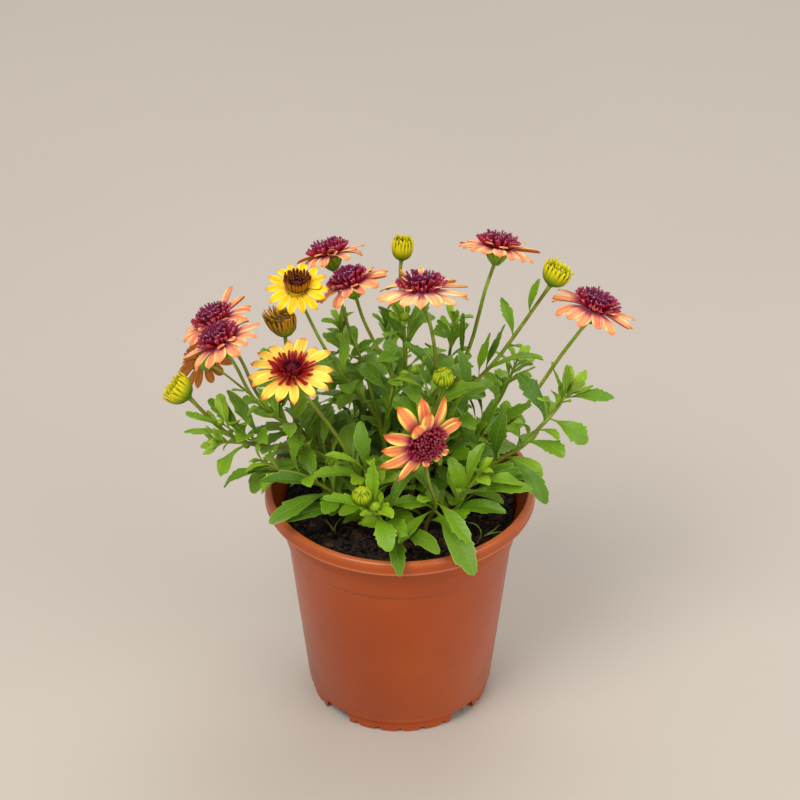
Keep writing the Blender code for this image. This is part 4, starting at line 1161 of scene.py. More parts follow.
def addCup(skin, head, draw):
    # the green cup under a bloom or round the lower half of a bud, with its bracts
    frame = headFrame(head["face"])
    at = Vector(head["at"]) * mm
    if "size" in head:
        profile = [(0, -1.5), (6.0, -1.5), (6.2, -2.1), (6.0, -3.8), (5.2, -5.7), (3.8, -7.5), (2.4, -9.0),
                   (1.8, -9.9), (0, -10.1)]
    else:
        w, h = head["wide"], head["tall"]
        profile = [(0, 0.48), (0.44, 0.48), (0.46, 0.36), (0.43, 0.22), (0.32, 0.09)]
        profile = [(w * r, h * z) for r, z in profile] + [(w * 0.18, -0.4), (1.7, -1.6), (0, -1.8)]
    shade = (0.8 if head["tint"] == "brown" else 0, 0, 0)
    addTurned(skin, profile, cupForm["sides"], cupSlot, frame, at,
              lambda t, turn: (1 - t, sin(turn * 88) * 0.9, 0.5), shade,
              lambda angle: 1 + 0.02 * cos(angle * cupForm["bracts"]))
    if "size" in head:
        line = [(0, 2.3, -9.3), (0.25, 4.2, -7.5), (0.5, 5.7, -5.5), (0.75, 6.6, -3.4), (1, 7.4, -1.7)]
        addBracts(skin, frame, at, line, cupForm["bracts"], 1.5, 0, draw, shade)


def addGreenBud(skin, stem, draw):
    # a closed green bud wrapped in its bracts; the larger ones have a few small leaves round their foot
    x, y, z, size = stem["green"]
    frame = headFrame(stem["route"][-1] - stem["route"][-2])
    at = Vector((x, y, z)) * mm
    profile = [(size * r, size * z) for r, z in (
        (0, 0.54), (0.2, 0.5), (0.38, 0.3), (0.46, 0.05), (0.4, -0.22), (0.2, -0.46), (0, -0.52))]
    addTurned(skin, profile, 20, cupSlot, frame, at, lambda t, turn: (1 - t, sin(turn * 75), 0.25), plain)
    line = [(t, size * r, size * z) for t, r, z in (
        (0, 0.2, -0.45), (0.3, 0.46, -0.2), (0.6, 0.5, 0.1), (0.85, 0.32, 0.42), (1, 0.14, 0.6))]
    addBracts(skin, frame, at, line, 9, size * 0.16, 0.2, draw, plain)
    if size < 5.5:
        return
    for k in range(6):
        angle = k * 1.047 + draw.uniform(-0.3, 0.3)
        ray = frame @ spin(angle)
        axis = frame @ up
        length = size * draw.uniform(1.5, 2.3)
        root = at + (ray * 1.2 - axis * size * 0.6) * mm
        tip = root + (ray * draw.uniform(0.55, 0.95) + axis * 0.8).normalized() * length * mm
        blade = dict(root=root, tip=tip, lift=-0.1 * length * mm, up=axis * 0.9 - ray * 0.4,
                     half=length * 0.21 * mm, edge=youngEdge if length < 15 else rowEdge)
        addLeaf(skin, blade, draw, 0.4)


# Leaves beyond those that the model's solids have room for: (from, to, a leaf every so many
# millimetres, longest, shortest)
fill = dict(shoot=(0.06, 0.9, 6.6, 31, 21), flowered=(0.06, 0.5, 8.5, 30, 18),
            tuft=(0.84, 0.995, 3.3, 19, 10))


def growFill(stem, draw):
    kinds = ("flowered",) if "head" in stem else ("shoot", "tuft")
    length = sum((b - a).length for a, b in zip(stem["route"], stem["route"][1:])) / mm
    before = len(stem["blades"])
    stem["rows"] = []
    for kind in kinds:
        first, last, every, longest, shortest = fill[kind]
        stem["rows"].append((first, last, max(1, int(length * (last - first) / every)), longest, shortest))
    growRows(stem, draw)
    return len(stem["blades"]) - before


# Shoots whose leaves are fresher than most; on these front and low shoots the extra paleness is also
# painted light in their shade
freshnessAndPaintedLight = {"shoot_front_low": 0.34, "shoot_fresh_right": 0.34, "shoot_rosette": 0.36,
             "shoot_left_low": 0.25,
             "shoot_right_low": 0.15, "shoot_front": 0.1, "shoot_left_rim": 0.1, "shoot_centre": 0.15}


def makeShoot(name, shoot, looks, number):
    draw = Random(number * 13 + 5)
    skin = Skin()
    fresh = freshnessAndPaintedLight.get(name, 0)
    for stem in everyStem(shoot):
        addStem(skin, stem, draw)
        if "head" in stem:
            addCup(skin, blooms.get(stem["head"]) or buds[stem["head"]], draw)
        elif "green" in stem:
            addGreenBud(skin, stem, draw)
        for blade in stem["blades"]:
            addLeaf(skin, blade, draw, fresh)
    return piece(name + "_leafy", skin, looks, name, "leaf_green")


# Petals, florets and opening buds

petalForm = dict(
    line=((0, 0.42), (0.12, 0.55), (0.3, 0.8), (0.5, 0.96), (0.68, 1.0), (0.82, 0.93), (0.91, 0.78),
          (0.96, 0.62), (1, 0.36)),
    shares=(0, 0.08, 0.17, 0.27, 0.38, 0.49, 0.6, 0.7, 0.79, 0.87, 0.93, 0.97, 1),
    across=(-1, -0.82, -0.6, -0.38, -0.19, 0, 0.19, 0.38, 0.6, 0.82, 1), thick=0.55, groove=0.22,
    wide=(1.12, 1.34), cup=(-0.12, 0.3), curl=(-2.2, 3.2), layer=0.45, rolled=0.14)


def addPetal(skin, blade, draw, number, kind, layer=None):
    # kind scales its length and width and says how pointed it is; layer lifts it clear of the next petal
    form = petalForm
    stretch, broad, point = kind
    tip = blade["root"] + (blade["tip"] - blade["root"]) * stretch
    blade = dict(blade, tip=tip, lift=blade["lift"] * stretch)
    length = (tip - blade["root"]).length / mm
    half = blade["half"] / mm * draw.uniform(*form["wide"]) * broad
    cup, curl = draw.uniform(*form["cup"]), draw.uniform(*form["curl"])
    if draw.random() < form["rolled"]:
        cup, curl = draw.uniform(0.5, 0.8), draw.uniform(-4, -1)
    sway, notch = draw.uniform(-1.2, 1.2), draw.uniform(0.1, 0.9)
    shade = (draw.uniform(-0.4, 0.4), draw.uniform(-0.5, 0.5), 0)
    if layer is None:
        layer = form["layer"] if number % 2 else -form["layer"]

    def middle(t, v):
        spine, normal, side = bladeAt(blade, t)
        ahead = normal.cross(side)
        off = half * lineAt(form["line"], t) * v * (1 - 0.25 * max(0, cup - 0.3))
        off *= 1 - 0.8 * point * max(0, (t - 0.5) / 0.5) ** 2
        rise = cup * abs(v) * abs(off) - curl * t ** 3 * length / 22
        rise += (form["groove"] * cos(v * 3 * pi) + layer) * min(1, t * 3)
        slip = (-v * v * 1.3 + notch * 0.5 * cos(v * 2 * pi)) * t ** 6 * length / 20
        place = spine + (side * (off + sway * t * t) + normal * rise + ahead * slip) * mm
        return place, normal, (t, v, number)

    addSheet(skin, middle, form["shares"], form["across"], form["thick"] * mm, (0, 1), shade)


petalWays = {"flame": (1.14, 0.72, 0.4), "yellow": (1, 0.86, 0.25), "lemon": (1.15, 0.84, 0.55),
             "bronze": (1, 0.8, 0.2)}

# Each crown of florets: the look, the radius of its foot, the height of its core and of its beads,
# and its parts from the rim inwards, each (count, outer and inner share of the disc, reach, rise,
# outward and upward share of the bend, radii of foot, shaft and tip, size of the star, shade)
crowns = {
    "orange": dict(look="crimson", foot=5.6, core=0.42, beads=0, parts=[
        (30, (1.0, 0.86), 1.14, 0.78, (0.55, 0.34), (0.5, 0.74, 0.95), 1.05, 0),
        (34, (0.86, 0.66), 1.02, 1.12, (0.5, 0.42), (0.45, 0.62, 0.8), 1.15, 0.4),
        (30, (0.66, 0.42), 0.98, 1.32, (0.45, 0.5), (0.42, 0.5, 0.62), 1.25, 0.8),
        (14, (0.42, 0.1), 0.8, 1.0, (0.4, 0.5), (0.4, 0.46, 0.55), 1.0, 1)]),
    "low": dict(look="maroon", foot=8.4, core=0.5, beads=0, knob=0.86, parts=[
        (32, (1.0, 0.9), 1.14, 0.6, (0.6, 0.4), (0.42, 0.5, 0.66), 0, 0),
        (50, (0.88, 0.6), 1.02, 0.84, (0.55, 0.45), (0.42, 0.52, 0.6), 0, 0.3),
        (52, (0.6, 0.05), 1.0, 0.94, (0.5, 0.5), (0.42, 0.52, 0.6), 0, 0.7)]),
    "yellow": dict(look="ruby", foot=5.0, core=0.62, beads=80, wild=2.4, parts=[
        (25, (1.0, 0.93), 1.27, 0.55, (0.6, 0.36), (0.5, 0.7, 0.88), 0.5, 0),
        (23, (0.9, 0.8), 1.08, 1.0, (0.5, 0.44), (0.5, 0.68, 0.86), 0.5, 0.1),
        (22, (0.76, 0.6), 0.88, 1.2, (0.5, 0.5), (0.42, 0.6, 0.74), 0.6, 0.4),
        (20, (0.55, 0.4), 0.8, 0.9, (0.5, 0.5), (0.4, 0.5, 0.6), 0.9, 1)]),
    "lemon": dict(look="brown", foot=4.6, core=0.66, beads=46, face=(0, -0.12, 1),
                  straps=(24, 0.96, 4.6, 8.1, 9.6), parts=[
        (22, (1.0, 0.9), 0.92, 1.25, (1.3, 0.5), (0.5, 0.7, 0.55), 0, 0.5),
        (16, (0.84, 0.7), 0.66, 1.0, (0.9, 0.6), (0.4, 0.46, 0.56), 1.2, 0.9),
        (12, (0.6, 0.4), 0.6, 0.84, (0.8, 0.6), (0.4, 0.46, 0.5), 1.1, 1)]),
}

# Small petals among or beside the florets: the bloom, and each one's way, its foot and its reach
# from the middle, half width, rise of its foot and of its tip
petaloids = {
    "bloom_centre": [((-1, -0.5, 0), 9.5, 14, 2.4, 6, 10.5), ((-0.1, 0.8, 0), 3, 5.5, 2.2, 8.5, 12.5),
                     ((-0.9, 0.3, 0), 10, 14, 2.2, 6, 11), ((0.8, -0.8, 0), 6, 17, 2.4, 1.5, 5),
                     ((-0.7, -0.9, 0), 6, 16, 2.2, 1.5, 4)],
    "bloom_top_right": [((-0.6, -1, 0), 6, 17, 2.6, 1, 5), ((0.1, -1, 0), 6, 16, 2.8, 1, 4),
                        ((0.7, -1, 0), 6, 17, 2.4, 1, 5), ((1, 0.4, 0), 6, 17, 2.2, 1, 6)],
    "bloom_left_back": [((0.2, -1, 0), 8, 16.5, 3.0, 1.5, 2.5), ((0.7, -0.8, 0), 8, 16, 3.0, 1.5, 2.5),
                        ((-0.5, -1, 0), 8, 16, 3.0, 1.5, 2), ((0.8, 1, 0), 8, 25, 3.2, 1.5, 9)],
    "bloom_left_front": [((0.2, -1, 0), 8, 16, 2.8, 1.5, 2.5), ((0.8, -0.7, 0), 8, 16.5, 2.8, 1.5, 2.5),
                         ((1, 0.3, 0), 7, 18, 3, 1.5, 8)],
    "bloom_left_centre": [((0.9, -0.2, 0), 7, 18, 2.8, 1.5, 7), ((0.4, -1, 0), 8, 16, 2.6, 1, 3),
                          ((-0.7, -0.8, 0), 7, 15, 2.4, 1, 4)],
    "bloom_back_left": [((0.3, -1, 0), 7, 16, 2.6, 1, 4), ((-0.4, -1, 0), 7, 16, 2.4, 1, 4)],
    "bloom_far_right": [((-0.2, -1, 0), 7, 17, 2.4, 1, 4), ((0.8, -0.6, 0), 7, 17, 2.4, 1, 4)],
    "bloom_low_front": [((-0.02, 0, 1), 6, 25, 4.2, 1.5, 7), ((-0.5, 0, 0.9), 6.5, 19, 5.2, 1.5, 9),
                        ((-0.2, 0, -1), 9, 14.5, 2.6, 3, 5.5), ((0.55, 0, -0.8), 10, 15.5, 2.6, 3, 4),
                        ((0.8, 0, -0.5), 10, 16, 2.6, 3, 4), ((-0.86, -0.4, -0.28), 7, 32, 3.6, 1.2, 1.5),
                        ((-0.6, -0.3, -0.7), 7, 28, 3.4, 1.2, 2), ((0.32, 0.2, 0.95), 7, 33, 3.6, 1.2, 2),
                        ((0.9, 0.3, 0.4), 7, 25, 3.2, 1.2, 3)],
    "bloom_yellow_small": [((1, 0, 0.2), 6, 15, 2.6, 1, 2)],
}


def addFloret(skin, frame, at, angle, foot, tip, height, bend, radii, star, shade, number, knob, draw):
    # a quill that rises, leans out and ends in a small star, a knob or a blunt tip
    out = spin(angle)
    start = out * foot + up * 0.6
    end = out * tip + up * height
    knee = out * (foot + (tip - foot) * bend[0]) + up * height * bend[1]
    if bend[0] > 1:
        knee = out * foot * bend[0] + up * height * bend[1]
    way = [at + frame @ (start * (1 - t) ** 2 + knee * 2 * t * (1 - t) + end * t * t) * mm
           for t in (0, 0.3, 0.6, 0.85, 1)]
    sizes = [radii[0], radii[0], radii[1], radii[2], radii[2] * (0.8 if star else 0.35)]
    rings = addTube(skin, way, [size * mm for size in sizes], 6, 0,
                    lambda t, turn, place: (t, turn, number), (shade, 0, 0), caps=False)
    skin.close(rings[0][::-1], 0)
    ahead = (way[-1] - way[-2]).normalized()
    if not star:
        top = skin.point(way[-1] + ahead * 0.35 * mm, (1, 0, number), (shade, 0, 0))
        skin.between(rings[-1], [top], 0, True)
        if knob:
            size = knob * draw.uniform(0.8, 1.15)
            addBead(skin, way[-1] + ahead * 0.2 * mm, size, (shade, draw.uniform(0, 0.14), 0), number)
        return
    lobes = []
    spread = 1.25 * star * radii[2] * draw.uniform(0.85, 1.2)
    for k, i in enumerate(rings[-1]):
        ray = (skin.points[i] - way[-1]).normalized()
        far = ray * spread * (1 if k % 2 else 0.55) + ahead * (0.8 if k % 2 else 0.2)
        lobes.append(skin.point(way[-1] + far * mm, (1, 0, number), (shade, 0.16 if k % 2 else 0, 0)))
    skin.between(rings[-1], lobes, 0, True)
    pit = skin.point(way[-1] - ahead * 0.4 * mm, (0.2, 0, number), (shade, 0, 0))
    skin.between(lobes, [pit], 0, True)
    if draw.random() < 0.5:
        addBead(skin, way[-1] + ahead * 0.5 * mm, 0.3 * draw.uniform(0.8, 1.3), (shade, 0.8, 0), number)


def addBead(skin, at, radius, shade, number, squash=1.0):
    # a small round grain
    top = skin.point(at + up * radius * squash * mm, (1, 0, number), shade)
    rings = [[top]]
    for height, wide in ((0.45, 0.9), (-0.45, 0.9)):
        level = at + up * height * radius * squash * mm
        rings.append([skin.point(level + spin(k * 1.2566) * wide * radius * mm, (1, k / 5, number), shade)
                      for k in range(5)])
    rings.append([skin.point(at - up * radius * squash * mm, (1, 0, number), shade)])
    for first, second in zip(rings, rings[1:]):
        skin.between(first, second, 0, True)


def addCrown(skin, bloom, crown, draw):
    frame = headFrame(crown.get("face", bloom["face"]))
    at = Vector(bloom["at"]) * mm
    wide = bloom["disc"]
    high = 4.5 + wide * 0.22
    core, foot = crown["core"], crown["foot"]
    profile = [(0, high * core), (foot * 0.5, high * core * 0.92), (foot * 0.85, high * core * 0.6),
               (foot, 1.6), (foot * 0.8, 1 + gap), (0, 1 + gap)]
    addTurned(skin, profile, 24, 0, frame, at, lambda t, turn: (0.1, turn, 0), (1, 0, 0))
    if "straps" in crown:
        addStraps(skin, frame, at, crown["straps"], draw)
    number = 0
    for count, (outer, inner), reach, rise, bend, radii, star, shade in crown["parts"]:
        for k in range(count):
            q = (inner ** 2 + (outer ** 2 - inner ** 2) * (k + 0.5) / count) ** 0.5
            wild = crown.get("wild", 1)
            angle = radians(k * goldenTurn if count > 30 else k * 360 / count + count)
            angle += draw.uniform(-0.09, 0.09) * wild
            tip = wide * reach * (0.05 + 0.95 * q) * draw.uniform(1 - 0.08 * wild, 1.06)
            height = high * rise * draw.uniform(1 - 0.14 * wild, 1.12)
            number += 1
            addFloret(skin, frame, at, angle, foot * q, tip, height, bend, radii, star, shade, number,
                      crown.get("knob", 0), draw)
    for k in range(crown["beads"]):
        q = ((k + 0.5) / crown["beads"]) ** 0.5
        turn = radians(k * goldenTurn)
        place = Vector((cos(turn) * q * foot * 0.85, sin(turn) * q * foot * 0.85,
                        high * core * (1.04 - 0.3 * q * q)))
        addBead(skin, at + frame @ place * mm, 0.46, (1, 0 if k % 4 else 0.3, 0), k)


strapForm = dict(
    flare=((0, 0), (0.3, 0.5), (0.6, 0.84), (1, 1)),
    line=((0, 0.55), (0.5, 0.85), (0.8, 1), (0.93, 0.8), (1, 0.3)),
    shares=(0, 0.2, 0.4, 0.6, 0.8, 0.93, 1), across=(-1, -0.5, 0, 0.5, 1), thick=0.7)


def addStraps(skin, frame, at, straps, draw):
    # flat florets that stand side by side like the staves of a tub, golden outside and dark inside
    count, half, foot, rim, height = straps
    for k in range(count):
        angle = 2 * pi * (k + draw.uniform(-0.15, 0.15)) / count
        out = spin(angle)
        reach, lean = draw.uniform(0.88, 1.08), draw.uniform(-0.4, 0.6)

        def middle(t, v):
            radius = foot + (rim - foot) * lineAt(strapForm["flare"], t) + lean * t * t
            wide = half * lineAt(strapForm["line"], t)
            level = height * reach * t - 0.9
            place = at + frame @ (out * (radius + 0.3 * v * v) + up.cross(out) * v * wide + up * level) * mm
            return place, frame @ (out - up * 0.3).normalized(), (t * 0.9, (v + 1) / 2, k)

        addSheet(skin, middle, strapForm["shares"], strapForm["across"], strapForm["thick"] * mm,
                 (0, 0), plain, back=(0.75, 0, 0))


# The round base under the petals: its radius, and where along a petal its colour lies
bases = {"lemon": (5.2, 0.3)}


def makeBloom(name, bloom, petalLooks, floretLooks, number):
    draw = Random(number * 17 + 3)
    low = name == "bloom_low_front"
    kind = "flame" if low else bloom["tint"]
    skin = Skin()
    frame = headFrame(bloom["face"])
    at = Vector(bloom["at"]) * mm
    wide, hue = bases.get(kind, (6.6, 0.05))
    addTurned(skin, [(0, 0.9), (wide - 1, 0.9), (wide, 0.2), (wide - 0.8, -1.1), (0, -1.1)], 24, 0, frame,
              at, lambda t, turn: (hue, 0, 0), plain)
    for k, blade in enumerate(petalBlades(bloom)):
        addPetal(skin, blade, draw, k + number * 20, petalWays.get(kind, (1, 1, 0.15)))
    for k, (way, foot, reach, half, footRise, tipRise) in enumerate(petaloids.get(name, [])):
        ray = frame.transposed() @ Vector(way)
        ray = Vector((ray.x, ray.y, 0)).normalized()
        blade = dict(root=at + frame @ (ray * foot + up * footRise) * mm, half=half * mm,
                     tip=at + frame @ (ray * reach + up * tipRise) * mm, lift=0.06 * (reach - foot) * mm,
                     up=frame @ (up * 0.8 - ray * 0.4), twist=draw.uniform(-0.2, 0.2))
        addPetal(skin, blade, draw, 200 + k + number * 20, (1, 0.85, 0.3), 0)
    piece(name + "_rays", skin, petalLooks[kind], name + "_petals", bloom["tint"] + "_petal")
    skin = Skin()
    crown = crowns["low" if low else bloom["tint"] if bloom["tint"] in crowns else "orange"]
    addCrown(skin, bloom, crown, draw)
    slotName = "brown_floret" if bloom["tint"] == "lemon" else "crimson_floret"
    piece(name + "_florets", skin, [floretLooks[crown["look"]]], name + "_disc", slotName)


# Each opening bud: its fingers in rings of (how many, half width, foot, middle and tip as shares of
# the bud's width and height); the first ring grows from the foot of the cup
openings = {
    "bud_top": [(18, 0.106, (0.16, -0.03), (0.64, 0.12), (0.5, 1.02)),
                (15, 0.098, (0.4, 0.36), (0.46, 0.7), (0.4, 1.06)),
                (11, 0.08, (0.28, 0.45), (0.32, 0.7), (0.22, 1.02))],
    "bud_right": [(18, 0.104, (0.14, -0.03), (0.62, 0.14), (0.56, 0.98)),
                  (15, 0.098, (0.4, 0.36), (0.45, 0.7), (0.47, 0.93)),
                  (12, 0.07, (0.26, 0.45), (0.32, 0.6), (0.31, 0.8))],
    "bud_far_left": [(20, 0.094, (0.13, -0.03), (0.62, 0.14), (0.52, 0.92)),
                     (17, 0.087, (0.4, 0.36), (0.44, 0.66), (0.43, 0.86)),
                     (13, 0.066, (0.27, 0.45), (0.33, 0.6), (0.31, 0.77))],
    "bud_centre": [(20, 0.082, (0.16, -0.03), (0.78, 0.28), (0.24, 0.98)),
                   (11, 0.074, (0.4, 0.6), (0.4, 1.05), (0.04, 1.02))],
    "bud_bronze": [(22, 0.076, (0.14, -0.03), (0.54, 0.16), (0.43, 0.92)),
                   (15, 0.078, (0.34, 0.36), (0.42, 0.66), (0.36, 0.88)),
                   (9, 0.075, (0.2, 0.45), (0.27, 0.6), (0.22, 0.8))],
    "bud_front": [(20, 0.082, (0.16, -0.03), (0.78, 0.28), (0.24, 0.96)),
                  (11, 0.074, (0.4, 0.6), (0.4, 1.03), (0.04, 1.0))],
}


fingerForm = dict(
    line=((0.15, 0.8), (0.4, 1), (0.8, 0.94), (0.92, 0.6), (1, 0)), across=(-1, -0.5, 0, 0.5, 1),
    shares=(0, 0.12, 0.25, 0.38, 0.5, 0.62, 0.74, 0.85, 0.94, 1))


def makeBud(name, bud, looks, number):
    draw = Random(number * 29 + 7)
    skin = Skin()
    frame = headFrame(bud["face"])
    at = Vector(bud["at"]) * mm
    w, h = bud["wide"], bud["tall"]
    shut = name in ("bud_centre", "bud_front")
    top = 0.94 if shut else 0.66
    profile = [(0, h * top), (w * 0.2, h * top * 0.97), (w * 0.34, h * top * 0.88), (w * 0.4, h * 0.52),
               (0, h * 0.5)]
    addTurned(skin, profile, 24, 0, frame, at, lambda t, turn: (0.45, turn, 3), (0.25 if shut else 1, 0, 0))
    leftward = frame.transposed() @ Vector((-1, -0.1, 0))
    for count, half, foot, bend, tip in openings[name]:
        for k in range(count):
            angle = 2 * pi * (k + draw.uniform(-0.2, 0.2)) / count
            out = spin(angle)
            reach, lean = draw.uniform(0.92, 1.05), draw.uniform(-0.04, 0.06)
            if name == "bud_bronze":
                side = max(0, out.dot(leftward))
                lean, reach = lean + 0.3 * side, reach * (0.9 + 0.16 * side)
            ripe = draw.uniform(0, 1)

            def middle(t, v):
                parts = [(1 - t) ** 2, 2 * t * (1 - t), t * t]
                radius = w * (foot[0] * parts[0] + bend[0] * parts[1] + (tip[0] + lean) * parts[2])
                height = h * (foot[1] * parts[0] + bend[1] * parts[1] + tip[1] * reach * parts[2])
                wide = w * half * lineAt(((0, 0.3 if foot[1] < 0 else 0.9),) + fingerForm["line"], t)
                push = out * (radius - abs(v) * wide * 0.3) + up.cross(out) * v * wide
                normal = frame @ (out - up * 0.2).normalized()
                return at + frame @ (push + up * height) * mm, normal, (t, v, ripe)

            addSheet(skin, middle, fingerForm["shares"], fingerForm["across"], (1.2 if shut else 0.8) * mm,
                     (0, 0), plain, True)
    if not shut:
        for k in range(30):
            q = ((k + 0.5) / 30) ** 0.5
            place = Vector((cos(k * 2.4) * q * w * 0.28, sin(k * 2.4) * q * w * 0.28, h * top))
            addBead(skin, at + frame @ place * mm, 0.4, (1, k % 2, 0), k)
    brown = bud["tint"] == "brown"
    look = looks["bronze" if brown else "green" if shut else "yellow"]
    piece(name + "_opening", skin, [look], name, "brown_floret" if brown else "lemon_petal")


# The pot and its soil

potForm = dict(
    lip=[(80.2, 153.9), (80.5, 155.0), (81.3, 155.8), (82.4, 156.0), (83.5, 155.8), (84.4, 155.1),
         (84.9, 154.1), (85.0, 152.6), (85.0, 150.4), (84.9, 149.1), (85.2, 148.5), (85.3, 147.9),
         (85.0, 147.3), (84.2, 147.0), (82.6, 146.9), (80.4, 146.3), (78.0, 145.2), (76.2, 143.9),
         (75.3, 142.4)],
    wall=[(74.05, 132.6), (74.2, 132.2), (74.15, 131.7), (73.8, 131.4), (72.9, 121.8), (72.75, 120.8),
          (72.3, 120.2), (71.6, 119.9), (71.3, 119.2), (71.25, 118.2)],
    foot=[(59.55, 12.2), (59.3, 11.7), (59.25, 10.9), (59.35, 10.2), (59.05, 8.9), (58.6, 8.3), (57.6, 7.9),
          (57.0, 7.3), (57.0, 0.6), (56.4, 0.0), (55.2, 0.0), (54.6, 0.6), (54.6, 8.0)],
    floor=[(6, 8.0), (5.4, 8.6), (5.4, 10.5), (56.2, 10.5), (57.2, 11.4)],
    inside=[(69.6, 117.0), (70.0, 119.6), (71.0, 121.6), (73.4, 141.4), (74.6, 145.2), (78.2, 149.6),
            (79.8, 152.4)],
    gate=[(-10.6, -1), (10.6, -1), (9.8, 5.6), (8.6, 7.4), (-8.6, 7.4), (-9.8, 5.6)], cut=(50, 64),
    sides=160, arches=(-29, -14.5, 0, 14.5, 29), arch=2.5, holeRadius=40, hole=4, floorCut=(4, 14))


def lathe(name, profile, sides):
    # a closed ring-shaped solid turned round +Z; its profile runs round the section in millimetres
    count = len(profile)
    points = [(r * cos(2 * pi * k / sides) * mm, r * sin(2 * pi * k / sides) * mm, z * mm)
              for k in range(sides) for r, z in profile]
    faces = []
    for k in range(sides):
        after = (k + 1) % sides
        for i in range(count):
            j = (i + 1) % count
            faces.append((k * count + i, after * count + i, after * count + j, k * count + j))
    return meshObject(name, points, faces)


def prism(name, outline, reach, ahead, flat, tall, at=Vector()):
    # a cutter: an outline along flat and tall, drawn out along ahead from one reach to another
    count = len(outline)
    points = [(at + ahead * far + flat * x + tall * z) * mm for far in reach for x, z in outline]
    faces = [tuple(range(count))[::-1], tuple(range(count, 2 * count))]
    faces += [(k, (k + 1) % count, count + (k + 1) % count, count + k) for k in range(count)]
    return meshObject(name, points, faces)


def carve(made, cutters):
    # takes the cutters out of a shape
    bpy.ops.object.select_all(action="DESELECT")
    bpy.context.view_layer.objects.active = cutters[0]
    for cutter in cutters:
        cutter.select_set(True)
    bpy.ops.object.join()
    cutter = bpy.context.view_layer.objects.active
    for each in (made, cutter):
        faceOutward(each.data)
    cut = made.modifiers.new("cut", "BOOLEAN")
    cut.operation, cut.object, cut.solver = "DIFFERENCE", cutter, "EXACT"
    graph = bpy.context.evaluated_depsgraph_get()
    data = bpy.data.meshes.new_from_object(made.evaluated_get(graph))
    made.modifiers.clear()
    made.data = data
    bpy.data.objects.remove(cutter)


def makePot():
    form = potForm
    profile = form["lip"] + form["wall"] + form["foot"] + form["floor"] + form["inside"]
    made = lathe("pot_shell", profile, form["sides"])
    half = form["arch"]
    arch = [(half * cos(pi * k / 10), max(-1, half * sin(pi * k / 10) * 1.05)) for k in range(11)]
    arch = [(half, -1)] + arch + [(-half, -1)]
    circle = [(form["hole"] * cos(2 * pi * i / 24), form["hole"] * sin(2 * pi * i / 24)) for i in range(24)]
    cutters = []
    for quarter in range(4):
        for shift, outline in [(45, form["gate"])] + [(shift, arch) for shift in form["arches"]]:
            angle = radians(90 * quarter + shift)
            side = Vector((-sin(angle), cos(angle), 0))
            cutters.append(prism("notch", outline, form["cut"], spin(angle), side, up))
    for k in range(8):
        angle = radians(22.5 + 45 * k)
        at = spin(angle) * form["holeRadius"]
        right, ahead = Vector((1, 0, 0)), Vector((0, 1, 0))
        cutters.append(prism("hole", circle, form["floorCut"], up, right, ahead, at))
    carve(made, cutters)
    return settle(made, [plasticLook()], 34, "pot")


# The counts of what lies on the soil each come with how far from the middle it reaches; the last rings
# of the soil, below its top, are (radius, height)
soilForm = dict(
    rings=tuple(range(2, 71, 2)) + (71, 72), sides=210, below=((70.5, 121.8), (69.5, 119.6), (56.7, 10.9)),
    chunks=(1600, 70), chips=(150, 69), grains=(240, 71), fibres=(120, 66),
    sizes=(0.5, 0.7, 0.9, 1.2, 1.6, 2.1, 2.7),
    chunkKinds=(0, 0, 0, 0, 0, 0, 0.12, 0.2, 0.35, 0.5), chipKinds=(0, 0, 0, 0, 0.15, 0.3),
    fibreKinds=(0.5, 0.5, 0.5, 0.7))


def soilHeight(x, y):
    # the top of the soil in millimetres
    place = Vector((x, y, 0))
    low = noise.noise(place * 0.045) * 1.0 + noise.noise(place * 0.14 + up * 5) * 0.9
    return soilTop - 0.4 + low + noise.noise(place * 0.37 + up * 9) * 1.5 + noise.noise(place * 0.9) * 0.7


def addChunk(skin, at, size, stretch, kind, draw):
    # a crumb of bark or peat: a rough block with noisy corners
    axis = Vector((draw.uniform(-1, 1), draw.uniform(-1, 1), draw.uniform(-0.3, 0.3)))
    frame = axis.to_track_quat("X", "Z").to_matrix()
    rings = []
    for level, wide in ((-1, 0), (-0.7, 0.75), (0, 1), (0.6, 0.8), (1, 0)):
        ring = []
        for k in range(1 if wide == 0 else 6):
            angle = k * pi / 3 + level
            push = draw.uniform(0.75, 1.2)
            spot = Vector((level * stretch, cos(angle) * wide * push, sin(angle) * wide * push * 0.75))
            ring.append(skin.point(at + frame @ (spot * size) * mm, plain, (kind, draw.uniform(0, 0.5), 0)))
        if rings:
            skin.between(rings[-1], ring, 0, True)
        rings.append(ring)


def addFibre(skin, at, length, kind, draw):
    # a thread of root or coir lying on the soil
    turn = draw.uniform(0, 2 * pi)
    bow = draw.uniform(-0.5, 0.5)
    lift = draw.uniform(0.2, 1) * 0.12
    way = []
    for k in range(6):
        t = k / 5
        angle = turn + bow * t * 2
        x, y, z = cos(angle) * length * t, sin(angle) * length * t, sin(t * pi) * lift * length
        way.append(at + Vector((x, y, z)) * mm)
    sizes = [draw.uniform(0.16, 0.3) * mm] * 5 + [0.06 * mm]
    addTube(skin, way, sizes, 4, shade=(kind, 0, 0))


